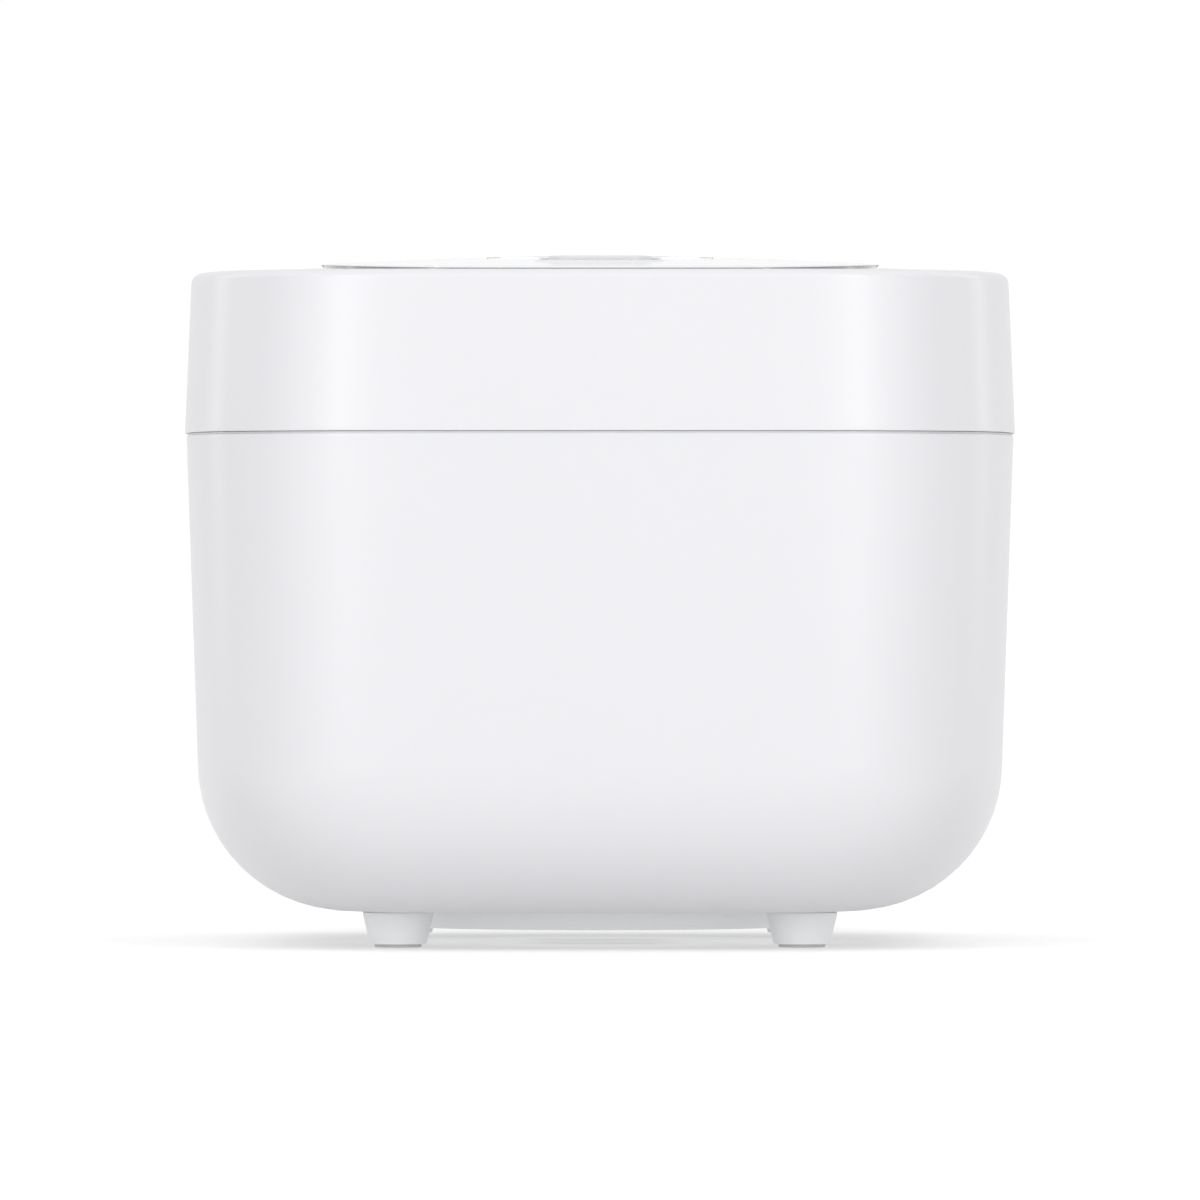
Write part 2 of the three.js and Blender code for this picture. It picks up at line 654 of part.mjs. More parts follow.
const innerLidGrommet = () => {
  const [low, high] = [innerLidZ - GAP, innerLidZ + 1.8];
  return turnedRing([
    [3.8, low - 2], [8, low - 2], [8, low], [6, low], [6, high], [8, high], [8, 174], [3.8, 174],
  ], 12);
};

// The pressure valve: a nozzle through the inner lid that opens into a cup round the ball.
const pressureValveSeat = () =>
  turnedRing([
    [3.2, 166], [9, 166], [9, innerLidZ + 1.8], [14, innerLidZ + 1.8], [14, 173.8], [11.4, 173.8],
    [11.4, 192], [9, 192], [9, 177], [3.2, 174.5],
  ], SMALL_SIDES);

const pressureBall = () => new THREE.SphereGeometry(6.5, 14, 10).rotateX(Math.PI / 2);
const ballRetainer = () => turnedRing([[5, 190.4], [8.7, 190.4], [8.7, 191.7], [5, 191.7]], SMALL_SIDES);
const ventSleeve = () => turnedRing([[8, 192.3], [11.2, 192.3], [11.2, 195.7], [8, 195.7]], SMALL_SIDES);

function steamWell() {
  const outside = raised(capShape(-3), 196, 215.5, 2);
  const pocket = raised(capShape(-0.8), 199, 230, 2);
  return cut(outside, pocket, post(5, 190, 205, [0, VENT_Y], 12));
}

function steamCap() {
  const shell = raised(capShape(0), CAP.lowZ, CAP.topZ, 3);
  const hollow = raised(capShape(CAP.wall), 190, CAP.topZ - CAP.wall, 3);
  const slots = [8, 13, 18].map((back) => {
    return block([-9, 9], [VENT_Y + back - 1, VENT_Y + back + 1], [CAP.topZ - 4, CAP.topZ + 1]);
  });
  return cut(shell, hollow, ...slots);
}

function steamCapFloor() {
  const sheet = raised(capShape(CAP.wall + GAP), CAP.lowZ + GAP, CAP.lowZ + 2.1, 2);
  return cut(sheet, post(6, 190, 210, [0, VENT_Y], 12));
}

const safetyValveBody = () =>
  turnedRing([
    [4, 167], [8, 167], [8, innerLidZ + 1.8], [12, innerLidZ + 1.8], [12, 173.4], [9, 173.4],
    [9, 186.4], [7, 186.4], [7, 174.8], [4, 174.8],
  ], SMALL_SIDES);

const safetyPlunger = () =>
  turned([[0, 168], [3.6, 168], [3.6, 175.1], [6.4, 175.1], [6.4, 177], [2, 177], [2, 183], [0, 183]], 12);

const safetyValveCap = () => turnedRing([[2.6, 184.4], [6.7, 184.4], [6.7, 186], [2.6, 186]], SMALL_SIDES);

const lidHeater = () => turnedRing([[30, 177.8], [58, 177.8], [58, 178.6], [30, 178.6]]);

const lidThermistor = () =>
  turned([[0, 173], [4, 173], [4, 177.8], [7, 177.8], [7, 179.2], [4, 179.2], [4, 187], [0, 187]], 10);

// ---------------------------------------------------------------------------------------------
// Assembly
// ---------------------------------------------------------------------------------------------

const cooker = new THREE.Group();
const base = new THREE.Group();
const lid = new THREE.Group();
const aroundPot = new THREE.Group(); // pieces of the base that share the pot's axis
const lidAroundPot = new THREE.Group(); // the same, in the lid
aroundPot.position.set(0, POT.y, 0);
lidAroundPot.position.set(0, POT.y, 0);
base.add(aroundPot);
lid.add(lidAroundPot);
cooker.add(base, lid);

function place(group, name, geometry, material, position = [0, 0, 0]) {
  const mesh = new THREE.Mesh(toGeometry(toSolid(geometry)), material);
  mesh.name = name;
  mesh.position.set(...position);
  group.add(mesh);
}

place(base, "outer_body", outerBody(), whiteShell);
place(base, "base_plate", basePlate(), greyPlastic, [0, BODY.centreY, 0]);
for (const [end, sign] of [["front", -1], ["rear", 1]]) {
  for (const [hand, side] of [["left", -1], ["right", 1]]) {
    const position = [side * FOOT.x, BODY.centreY + sign * FOOT.y, 0];
    place(base, `foot_${end}_${hand}`, foot(), whiteShell, position);
  }
}
place(base, "top_frame", topFrame(), greyPlastic);
place(base, "latch_strike", latchStrike(), steel);
place(base, "drain_spout", drainSpout(), silicone);
place(base, "board_tray", boardTray(), darkPlastic);
place(base, "power_board", powerBoard(), circuit);
place(base, "transformer", transformer(), copper);
place(base, "relay", relay(), darkPlastic);
place(base, "mains_inlet", mainsInlet(), darkPlastic);
const pinNames = ["inlet_pin_line", "inlet_pin_neutral", "inlet_pin_earth"];
pinNames.forEach((name, i) => place(base, name, inletPin(...INLET_PINS[i]), steel));

place(aroundPot, "inner_liner", innerLiner(), steel);
place(aroundPot, "keep_warm_heater", keepWarmHeater(), silicone);
place(aroundPot, "heating_plate", heatingPlate(), aluminium);
place(aroundPot, "heating_element", heatingElement(), steel);
place(aroundPot, "sensor_guide", sensorGuide(), darkPlastic);
place(aroundPot, "sensor_spring", spring(8.6, 0.8, 22.2, 33.7, 4), steel);
place(aroundPot, "sensor_plunger", sensorPlunger(), aluminium);
place(aroundPot, "thermal_fuse", thermalFuse(), whiteLead);
place(aroundPot, "inner_pot", innerPot(), blackCoating);
place(base, "heater_lead_line", heaterLead(-1), leadRed);
place(base, "heater_lead_neutral", heaterLead(1), whiteLead);

place(base, "hinge_housing", hingeHousing(), whiteShell);
place(base, "hinge_pin", hingePin(), steel);
place(base, "hinge_spring_left", hingeSpring(), steel, [-42.5, hingeY, hingeZ]);
place(base, "hinge_spring_right", hingeSpring(), steel, [31.5, hingeY, hingeZ]);
place(base, "condensate_cup", condensateCup(), whiteShell);

place(lid, "lid_shell", lidShell(), whiteShell);
place(lid, "top_panel", topPanel(), whiteGloss);
place(lid, "display_lens", displayLens(), smokedLens);
place(lid, "display_module", displayModule(), darkPlastic);
place(lid, "control_board", controlBoard(), circuit);
place(lid, "lid_hinge_knuckle", lidKnuckle(), whiteShell);
place(lid, "lid_liner", lidLiner(), greyPlastic);
place(lid, "inner_lid_plate", innerLidPlate(), aluminium);
place(lidAroundPot, "lid_gasket", lidGasket(), silicone);
place(lidAroundPot, "inner_lid_grommet", innerLidGrommet(), silicone);
place(lidAroundPot, "lid_heater", lidHeater(), silicone);
place(lid, "lid_thermistor", lidThermistor(), steel, [THERMISTOR.x, THERMISTOR.y, 0]);
place(lid, "pressure_valve_seat", pressureValveSeat(), aluminium, [0, VENT_Y, 0]);
place(lid, "pressure_ball", pressureBall(), steel, [0, VENT_Y, 180.5]);
place(lid, "ball_retainer", ballRetainer(), steel, [0, VENT_Y, 0]);
place(lid, "vent_sleeve", ventSleeve(), silicone, [0, VENT_Y, 0]);
place(lid, "steam_well", steamWell(), greyPlastic);
place(lid, "steam_cap", steamCap(), whiteGloss);
place(lid, "steam_cap_floor", steamCapFloor(), greyPlastic);
place(lid, "safety_valve_body", safetyValveBody(), aluminium, [SAFETY.x, SAFETY.y, 0]);
place(lid, "safety_plunger", safetyPlunger(), silicone, [SAFETY.x, SAFETY.y, 0]);
place(lid, "safety_spring", spring(4.2, 0.5, 177.3, 184.1, 4), steel, [SAFETY.x, SAFETY.y, 0]);
place(lid, "safety_valve_cap", safetyValveCap(), aluminium, [SAFETY.x, SAFETY.y, 0]);
place(lid, "release_button", releaseButton(), whiteGloss);
place(lid, "latch_hook", latchHook(), darkPlastic);
place(lid, "latch_pin", latchPin(), steel);
place(lid, "latch_spring", spring(3.4, 0.5, 177.8, 189.7, 5, [0, -138]), steel);

export default cooker;
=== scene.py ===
# %% [markdown]
# # A hinged-lid electric pressure cooker
# The working model of the cooker is already there as a frame: every part has its place, its size
# and its joint. This lesson gives that frame its looks. Each cell makes one piece or one finish.

# %% Load the frame
import json
import math
import bmesh
import bpy
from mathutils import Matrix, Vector


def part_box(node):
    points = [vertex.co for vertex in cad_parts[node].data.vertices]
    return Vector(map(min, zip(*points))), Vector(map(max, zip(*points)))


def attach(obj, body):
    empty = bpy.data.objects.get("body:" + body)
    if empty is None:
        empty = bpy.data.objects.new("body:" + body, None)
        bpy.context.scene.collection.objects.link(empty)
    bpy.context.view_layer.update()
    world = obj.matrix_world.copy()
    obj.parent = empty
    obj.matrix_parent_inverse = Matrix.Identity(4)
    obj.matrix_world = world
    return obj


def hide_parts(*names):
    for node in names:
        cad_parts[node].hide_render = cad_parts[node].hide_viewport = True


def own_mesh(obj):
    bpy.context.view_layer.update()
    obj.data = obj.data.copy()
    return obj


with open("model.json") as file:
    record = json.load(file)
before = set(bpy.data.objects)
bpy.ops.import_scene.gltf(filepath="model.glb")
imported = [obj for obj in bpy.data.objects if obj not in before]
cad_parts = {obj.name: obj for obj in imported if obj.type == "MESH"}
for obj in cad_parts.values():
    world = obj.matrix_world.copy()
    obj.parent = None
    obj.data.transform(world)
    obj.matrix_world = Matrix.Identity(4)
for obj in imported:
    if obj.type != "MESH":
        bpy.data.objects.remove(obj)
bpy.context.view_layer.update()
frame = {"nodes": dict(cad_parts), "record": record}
MM = 0.001
BODY_OF = {node: body for body, nodes in frame["record"]["behaviour"]["bodies"].items()
           for node in nodes}

# %% [markdown]
# ## Camera
# A product portrait is taken from far away with a long lens, level with the middle of the object,
# so that upright edges stay upright. The lens is worked out from the width that has to fit the frame.

# %% Camera
CAMERA_DISTANCE = 5130 * MM  # to the middle of the object
CAMERA_HEIGHT = 111 * MM
FRAME_WIDTH = 391.7 * MM  # what the frame takes in at that distance
SENSOR_WIDTH_MM = 36

bpy.ops.object.camera_add(location=(0, -CAMERA_DISTANCE, CAMERA_HEIGHT), rotation=(math.pi / 2, 0, 0))
camera = bpy.context.object
camera.data.sensor_width = SENSOR_WIDTH_MM
camera.data.lens = SENSOR_WIDTH_MM * CAMERA_DISTANCE / FRAME_WIDTH
camera.data.clip_end = 100
bpy.context.scene.camera = camera
print("lens", round(camera.data.lens), "mm")

# %% [markdown]
# ## Colours and nodes
# Colours are written as on a paint card, in sRGB hex, and turned to the linear values that the
# renderer works with. One helper adds a node, sets what it is told and makes its links. Another
# starts a finish: a shader, and the Object coordinates, which stay fixed to the moving piece.

# %% Colour and node helpers
def linear(code):
    channels = [int(code[i:i + 2], 16) / 255 for i in (1, 3, 5)]
    return tuple(c / 12.92 if c <= 0.04045 else ((c + 0.055) / 1.055) ** 2.4 for c in channels) + (1.0,)


def add_node(tree, kind, inputs=None, **settings):
    node = tree.nodes.new(kind)
    for name, value in settings.items():
        setattr(node, name, value)
    for socket, value in (inputs or {}).items():
        if isinstance(value, bpy.types.NodeSocket):
            tree.links.new(value, node.inputs[socket])
        else:
            node.inputs[socket].default_value = value
    return node


def new_material(name, **shader_values):
    """A material, its node tree, its shader, and the coordinates that every pattern reads."""
    material = bpy.data.materials.new(name)
    material.use_nodes = True
    tree = material.node_tree
    tree.nodes.clear()
    shader = add_node(tree, "ShaderNodeBsdfPrincipled")
    for socket, value in shader_values.items():
        shader.inputs[socket.replace("_", " ")].default_value = value
    add_node(tree, "ShaderNodeOutputMaterial", {"Surface": shader.outputs[0]})
    place = add_node(tree, "ShaderNodeTexCoord").outputs["Object"]
    print("finish:", name)
    return material, tree, shader, place


def per_mm(grain_mm):
    """The texture scale, in metres, at which one grain of the pattern is this many millimetres."""
    return 1 / (grain_mm * MM)

# %% [markdown]
# ## Letting a pattern show
# A real surface seldom varies in one way only: where a grain stands up, it is a little duller too.
# So a pattern is led to the colour, the roughness and the height of a surface by one function, and
# each finish says only how far each of them goes.

# %% Pattern helpers
def shades(colour, dimmed):
    """The two ends that a pattern runs between: a colour dimmed, and the colour itself."""
    full = linear(colour)
    return tuple(channel * dimmed for channel in full[:3]) + (1.0,), full


def vary(surface, pattern, tint=None, roughness=None, relief=None, peak=1.0,
         colour_socket="Base Color"):
    """Relief is a strength and a depth in millimetres. Peak is the pattern's highest value."""
    tree, shader = surface[1:3]
    if tint:
        blend = add_node(tree, "ShaderNodeMix", {"Factor": pattern, "A": tint[0], "B": tint[1]},
                         data_type="RGBA")
        tree.links.new(blend.outputs["Result"], shader.inputs[colour_socket])
    if roughness:
        spread = add_node(tree, "ShaderNodeMapRange", {
            "Value": pattern, "From Max": peak, "To Min": roughness[0], "To Max": roughness[1]})
        tree.links.new(spread.outputs["Result"], shader.inputs["Roughness"])
    if relief:
        bump = add_node(tree, "ShaderNodeBump", {
            "Height": pattern, "Strength": relief[0], "Distance": relief[1] * MM})
        tree.links.new(bump.outputs["Normal"], shader.inputs["Normal"])

# %% [markdown]
# ## Moulded plastics
# The casing is ABS from a spark-eroded mould: satin, with a grain of a few tenths of a millimetre
# that breaks up reflections. The real grain is near 0.1 mm; here it is drawn at 0.6 mm so that it
# shows. The top panel and the cap come from a polished mould, so they have only a slow waviness.
# Both are one recipe with other numbers, and so are the polypropylene and the glass-filled nylon.

# %% Moulded plastic
FLOW_MM = 70  # how far apart the mould's flow leaves lighter and darker areas


def moulded_plastic(name, colour, roughness, grain_mm, grain_depth_mm, shade=0.015, ior=1.5, coat=0.0):
    surface = new_material(name, IOR=ior, Coat_Weight=coat, Coat_Roughness=0.08)
    material, tree, shader, place = surface
    grain = add_node(tree, "ShaderNodeTexNoise", {
        "Vector": place, "Scale": per_mm(grain_mm), "Detail": 3.0, "Roughness": 0.6})
    flow = add_node(tree, "ShaderNodeTexNoise", {
        "Vector": place, "Scale": per_mm(FLOW_MM), "Detail": 2.0})
    vary(surface, flow.outputs["Fac"], shades(colour, 1 - shade))
    vary(surface, grain.outputs["Fac"], roughness=(roughness * 0.86, roughness * 1.14),
         relief=(0.35, grain_depth_mm))
    return material


satin_abs = moulded_plastic("satin moulded ABS", "#CECED1", 0.32, 0.6, 0.02)
polished_abs = moulded_plastic("polished moulded ABS", "#D3D3D5", 0.2, 9, 0.01, coat=0.25)
button_abs = moulded_plastic("fine-grained moulded ABS", "#CDCDCF", 0.4, 0.5, 0.03)
grey_pp = moulded_plastic("moulded grey polypropylene", "#C3C5C9", 0.48, 0.8, 0.05)
# White polypropylene for the feet and the base plate, painted lighter than the casing so that the shade under
# the body falls less dark on them.
shade_lifted_white_pp = moulded_plastic("moulded white polypropylene, painted lighter against shade", "#F0F1F2", 0.42, 0.8, 0.04)
black_nylon = moulded_plastic("glass-filled black nylon", "#27282B", 0.5, 0.5, 0.06, shade=0.2)

# %% [markdown]
# ## Display window
# Smoked acrylic: nearly black, very smooth, and lively only in its reflections. Faint moulding
# waves keep those reflections from looking computed. The lit segments glow in a pale blue-white
# that is a little uneven, as the light behind them is.

# %% Display window and its light
smoked_acrylic = moulded_plastic("smoked acrylic", "#141518", 0.05, 25, 0.004, shade=0.1, ior=1.49,
                                 coat=0.6)

lit_surface = new_material("backlit display segment", Base_Color=linear("#DDE9EF"), Roughness=0.4,
                           Emission_Strength=1.6)
lit_segment, segment_tree, _, segment_place = lit_surface
glow = add_node(segment_tree, "ShaderNodeTexNoise", {
    "Vector": segment_place, "Scale": per_mm(4), "Detail": 1.0})
vary(lit_surface, glow.outputs["Fac"], (linear("#B9DCEB"), linear("#E9F6FB")),
     colour_socket="Emission Color")

# %% [markdown]
# ## Rubber parts
# Gasket and grommet are moulded silicone, milky and soft in its gloss, with light that scatters
# inside. The leads lie in sleeves of silicone and glass fibre. The foot pads are thermoplastic
# rubber, which is duller.

# %% Silicone and rubber
def moulded_rubber(name, colour, roughness, scatter=0.0):
    surface = new_material(name, IOR=1.41, Subsurface_Weight=scatter, Subsurface_Scale=1.5 * MM,
                           Sheen_Weight=0.15, Sheen_Roughness=0.5)
    material, tree, shader, place = surface
    dust = add_node(tree, "ShaderNodeTexNoise", {
        "Vector": place, "Scale": per_mm(1.2), "Detail": 4.0})
    vary(surface, dust.outputs["Fac"], shades(colour, 0.93), (roughness * 0.85, roughness * 1.15),
         (0.3, 0.04))
    return material


milky_silicone = moulded_rubber("moulded milky silicone", "#D9DADC", 0.42, scatter=0.3)
pad_rubber = moulded_rubber("grey thermoplastic rubber", "#BFC0C2", 0.7)
red_sleeve = moulded_rubber("red silicone lead sleeve", "#B0392B", 0.5)
white_sleeve = moulded_rubber("white glass-fibre sleeve", "#E4E1D8", 0.75)

# %% [markdown]
# ## Brushed and turned metals
# Sheet steel and aluminium keep the fine lines of the tool that finished them. A noise that is
# stretched along one axis gives those lines; around a turned piece they run in circles, so there
# the pattern is read by its distance from the axis. A slow cloudiness keeps the lines from looking
# equal everywhere.

# %% Brushed and turned metal
def brushed_metal(name, colour, roughness, line_mm=0.25, turned_about=None):
    surface = new_material(name, Metallic=1.0, Base_Color=linear(colour))
    material, tree, shader, place = surface
    if turned_about is None:
        stretch = add_node(tree, "ShaderNodeMapping", {"Vector": place, "Scale": (0.02, 1.0, 1.0)})
        across = stretch.outputs["Vector"]
    else:
        apart = add_node(tree, "ShaderNodeVectorMath", {0: place, 1: turned_about},
                         operation="SUBTRACT")
        flat = add_node(tree, "ShaderNodeVectorMath", {0: apart.outputs[0], 1: (1.0, 1.0, 0.0)},
                        operation="MULTIPLY")
        radius = add_node(tree, "ShaderNodeVectorMath", {0: flat.outputs[0]}, operation="LENGTH")
        across = add_node(tree, "ShaderNodeCombineXYZ", {"X": radius.outputs["Value"]}).outputs[0]
    lines = add_node(tree, "ShaderNodeTexNoise", {
        "Vector": across, "Scale": per_mm(line_mm), "Detail": 2.0})
    cloud = add_node(tree, "ShaderNodeTexNoise", {
        "Vector": place, "Scale": per_mm(30), "Detail": 3.0})
    worn = add_node(tree, "ShaderNodeMath", {0: lines.outputs["Fac"], 1: cloud.outputs["Fac"]},
                    operation="MULTIPLY")
    vary(surface, worn.outputs[0], roughness=(roughness * 0.7, roughness * 1.3), peak=0.5)
    vary(surface, lines.outputs["Fac"], relief=(0.25, 0.01))
    return material


pot_low, pot_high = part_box("inner_pot")
pot_middle = tuple((Vector(pot_low) + Vector(pot_high)) / 2)
turned_aluminium = brushed_metal("turned aluminium", "#C9CACD", 0.3, 0.4, pot_middle)
spun_steel = brushed_metal("spun galvanised steel", "#B4B7BB", 0.38, 0.6, pot_middle)
pressed_steel = brushed_metal("pressed stainless steel", "#C8C8C9", 0.24, 0.2)
spring_steel = brushed_metal("drawn spring steel", "#B9BABD", 0.2, 0.3)
plated_brass = brushed_metal("nickel-plated brass", "#C9C3B4", 0.18, 0.2)

# %% [markdown]
# ## Cast metal
# A die casting has no lines. It has a blotchy skin, where the melt cooled against the mould in
# patches of a few millimetres. A wound coil of enamelled wire is just as uneven, so the copper
# uses the same recipe.

# %% Cast metal
def cast_metal(name, colour, roughness):
    surface = new_material(name, Metallic=1.0)
    material, tree, shader, place = surface
    skin = add_node(tree, "ShaderNodeTexNoise", {
        "Vector": place, "Scale": per_mm(2.5), "Detail": 5.0})
    vary(surface, skin.outputs["Fac"], shades(colour, 0.82), (roughness * 0.8, roughness * 1.25),
         (0.3, 0.05))
    return material


cast_aluminium = cast_metal("die-cast aluminium", "#B9BABD", 0.4)
wound_copper = cast_metal("enamelled copper winding", "#B4703F", 0.35)

# %% [markdown]
# ## Pot coating
# The pot is drawn aluminium under a sprayed PTFE coating: dark, soft in its shine, and flecked
# with lighter mineral grains about half a millimetre across, drawn here at about 1 mm so that they
# show. A Voronoi pattern cut off close to its cell centres scatters such flecks.

# %% Non-stick coating
coat_surface = new_material("sprayed PTFE coating", IOR=1.38)
pot_coating, coat_tree, _, coat_place = coat_surface
fleck = add_node(coat_tree, "ShaderNodeTexVoronoi", {"Vector": coat_place, "Scale": per_mm(2.6)})
fleck_mask = add_node(coat_tree, "ShaderNodeMapRange", {
    "Value": fleck.outputs["Distance"], "From Min": 0.16, "From Max": 0.22,
    "To Min": 1.0, "To Max": 0.0})
vary(coat_surface, fleck_mask.outputs["Result"], (linear("#2B2B2F"), linear("#6E6E73")))
vary(coat_surface, fleck.outputs["Distance"], roughness=(0.34, 0.46), relief=(0.2, 0.05))

# %% [markdown]
# ## Circuit board
# Glass epoxy under a green solder mask. The copper below shows as lighter tracks that stand up a
# few hundredths of a millimetre. A brick pattern with thin joints is near enough for a part that
# is seen only with the casing off.

# %% Circuit board
board_surface = new_material("solder-masked glass epoxy", IOR=1.55, Coat_Weight=0.4,
                             Coat_Roughness=0.15, Roughness=0.35)
circuit_board, board_tree, board_shader, board_place = board_surface
tracks = add_node(board_tree, "ShaderNodeTexBrick", {
    "Vector": board_place, "Color1": linear("#1F6B41"), "Color2": linear("#1B5E39"),
    "Mortar": linear("#2F8554"), "Scale": per_mm(12), "Mortar Size": 0.03, "Brick Width": 0.9,
    "Row Height": 0.35})
board_tree.links.new(tracks.outputs["Color"], board_shader.inputs["Base Color"])
vary(board_surface, tracks.outputs["Fac"], relief=(0.4, 0.05))

# %% [markdown]
# ## Modelling helpers
# Most of this cooker is made in two ways. A shell or a turned piece grows from one circle, which
# is extruded again and again and set down on the next ring each time. A block-like piece is a cube
# whose upright edges are bevelled, and then its rims. Everything is deselected first, because an
# operator works on all that is selected.

# %% Select, name, finish
def deselect():
    active = bpy.context.view_layer.objects.active
    if active and active.mode != "OBJECT":
        bpy.ops.object.mode_set(mode="OBJECT")
    bpy.ops.object.select_all(action="DESELECT")


def pick(piece):
    deselect()
    piece.select_set(True)
    bpy.context.view_layer.objects.active = piece


def named(name):
    piece = bpy.context.object
    piece.name = name
    piece.data.name = name
    return piece


def smooth(piece, degrees=35):
    pick(piece)
    bpy.ops.object.shade_smooth_by_angle(angle=math.radians(degrees))


def tidy_up(piece, degrees=35):
    """Merges doubles, turns the faces outwards and smooths all but the sharp edges."""
    pick(piece)
    bpy.ops.object.mode_set(mode="EDIT")
    bpy.ops.mesh.select_all(action="SELECT")
    bpy.ops.mesh.remove_doubles(threshold=2e-6)
    bpy.ops.mesh.normals_make_consistent(inside=False)
    bpy.ops.object.mode_set(mode="OBJECT")
    smooth(piece, degrees)

# %% [markdown]
# Every finished piece says three things: which body it moves with, which material it is painted with, and
# which nodes of the frame it stands for. A small extra stands for none.

# %% Taking a node's place
def paint(piece, material):
    piece.data.materials.clear()
    piece.data.materials.append(material)


def stand_for(piece, material, *nodes):
    """The piece takes the place and the body of these nodes, and is painted with this material."""
    paint(piece, material)
    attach(piece, BODY_OF[nodes[0]])
    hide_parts(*nodes)
    print(piece.name, len(piece.data.polygons), "faces")


def add_detail(piece, material, node):
    """A piece with no node of its own, which belongs to the same body as this node."""
    paint(piece, material)
    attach(piece, BODY_OF[node])
    print(piece.name, len(piece.data.polygons), "faces")

# %% [markdown]
# ## Profiles
# A drawn outline has hard corners, and no moulded or pressed part does. So a profile is given by
# its corners alone, and one function rounds them all. Another draws the larger arcs.

# %% Profiles with rounded corners
def filleted(points, radius, steps=3):
    """A profile in millimetres, with every corner but its two ends drawn as a short curve."""
    rounded = [points[0]]
    for before, corner, after in zip(points, points[1:], points[2:]):
        here = Vector(corner)
        back, on = Vector(before) - here, Vector(after) - here
        reach = min(radius, 0.45 * back.length, 0.45 * on.length)
        start, end = here + back.normalized() * reach, here + on.normalized() * reach
        for step in range(steps + 1):
            t = step / steps
            rounded.append(tuple((1 - t) ** 2 * start + 2 * t * (1 - t) * here + t ** 2 * end))
    return rounded + [points[-1]]


def arc(centre, radius, start, end, steps):
    """Profile points on a circle, between two angles in degrees."""
    angles = [math.radians(start + (end - start) * step / steps) for step in range(steps + 1)]
    return [(centre[0] + radius * math.cos(a), centre[1] + radius * math.sin(a)) for a in angles]

# %% [markdown]
# ## Growing a piece
# This cooker's outline is not a rectangle with round corners. Its sides bow a little, as those of
# a superellipse do: an ellipse's formula with a higher exponent. A circle is squared off that way,
# and then extruded. With exponent 2 it stays a circle, so the same function makes lathe pieces.

# %% Growing a piece from one circle
SQUARENESS = 5  # exponent of the cooker's outline: 2 would be an ellipse
SIDES = 144


def grow(name, sections, squareness=SQUARENESS, sides=SIDES, ring_shaped=False, lift=None, degrees=35):
    """A circle, squared off, then extruded once for each section: half width, half length, height and
    the y of its middle, in millimetres. Its ends are filled, or in a ring-shaped piece joined."""
    deselect()
    bpy.ops.mesh.primitive_circle_add(vertices=sides, radius=MM, fill_type="NOTHING")
    piece = named(name)
    for vertex in piece.data.vertices:
        x, y = abs(vertex.co.x) / MM, abs(vertex.co.y) / MM
        vertex.co *= (x ** squareness + y ** squareness) ** (-1 / squareness)
    bpy.ops.object.mode_set(mode="EDIT")
    bpy.ops.mesh.select_mode(type="EDGE")
    bpy.ops.mesh.select_all(action="SELECT")
    last = (1, 1, 0, 0)
    for number, section in enumerate(sections):
        if number:
            bpy.ops.mesh.extrude_edges_move()
        scale = (section[0] / last[0], section[1] / last[1], 1)
        bpy.ops.transform.resize(value=scale, center_override=(0, last[3] * MM, 0))
        bpy.ops.transform.translate(value=(0, (section[3] - last[3]) * MM, (section[2] - last[2]) * MM))
        last = section
    bpy.ops.object.mode_set(mode="OBJECT")
    if lift:
        for vertex in piece.data.vertices:
            vertex.co.z += lift(vertex.index // sides, vertex.co.x / MM, vertex.co.y / MM) * MM
    bpy.ops.object.mode_set(mode="EDIT")
    if ring_shaped:
        bpy.ops.mesh.select_all(action="DESELECT")
        bpy.ops.mesh.select_non_manifold(extend=False)
        bpy.ops.mesh.bridge_edge_loops()
    else:
        bpy.ops.mesh.select_all(action="SELECT")
        bpy.ops.mesh.fill_holes(sides=0)
    bpy.ops.object.mode_set(mode="OBJECT")
    tidy_up(piece, degrees)
    return piece


def move_by(piece, x, y, z=0):
    pick(piece)
    bpy.ops.transform.translate(value=(x * MM, y * MM, z * MM))
    bpy.ops.object.transform_apply(location=True, rotation=False, scale=False)
    return piece


def turned(name, profile, centre=(0, 0), sides=96, ring_shaped=False, degrees=35):
    """A lathe piece from points (radius, height). A ring-shaped one closes on itself."""
    sections = [(max(radius, 0.05), max(radius, 0.05), height, 0) for radius, height in profile]
    piece = grow(name, sections, 2, sides, ring_shaped, degrees=degrees)
    return move_by(piece, *centre)


def laid_down(piece, axis):
    """Turns a piece by a quarter turn about the origin, onto its side."""
    pick(piece)
    bpy.ops.transform.rotate(value=math.pi / 2, orient_axis=axis, center_override=(0, 0, 0))
    bpy.ops.object.transform_apply(location=True, rotation=True, scale=False)
    return piece


def rimmed(name, profile, fillet, centre=(0, 0), sides=96, steps=3):
    """A lathe ring whose corners are all rounded. The profile must start in the middle of a side."""
    return turned(name, filleted(profile + [profile[0]], fillet, steps)[:-1], centre, sides, True)

# %% [markdown]
# ## Blocks
# Keys, caps and cutters start as a cube, whose edges are chosen by their place and bevelled in
# edit mode. Openings are cut with an exact boolean, and the faces are made consistent afterwards.

# %% Blocks and rounded edges
FLAT = 1e-6  # two heights or places closer than this, in metres, count as equal


def round_edges(piece, width, segments, chosen):
    """Bevels the edges whose two ends pass the test."""
    pick(piece)
    bpy.ops.object.mode_set(mode="EDIT")
    bpy.ops.mesh.select_mode(type="EDGE")
    bpy.ops.mesh.select_all(action="DESELECT")
    shape = bmesh.from_edit_mesh(piece.data)
    for edge in shape.edges:
        edge.select_set(bool(chosen(edge.verts[0].co, edge.verts[1].co)))
    bmesh.update_edit_mesh(piece.data)
    bpy.ops.mesh.bevel(offset=width * MM, segments=segments, affect="EDGES")
    bpy.ops.object.mode_set(mode="OBJECT")
    return piece


def upright(a, b):
    return abs(a.z - b.z) > 10 * FLAT and abs(a.x - b.x) < FLAT and abs(a.y - b.y) < FLAT


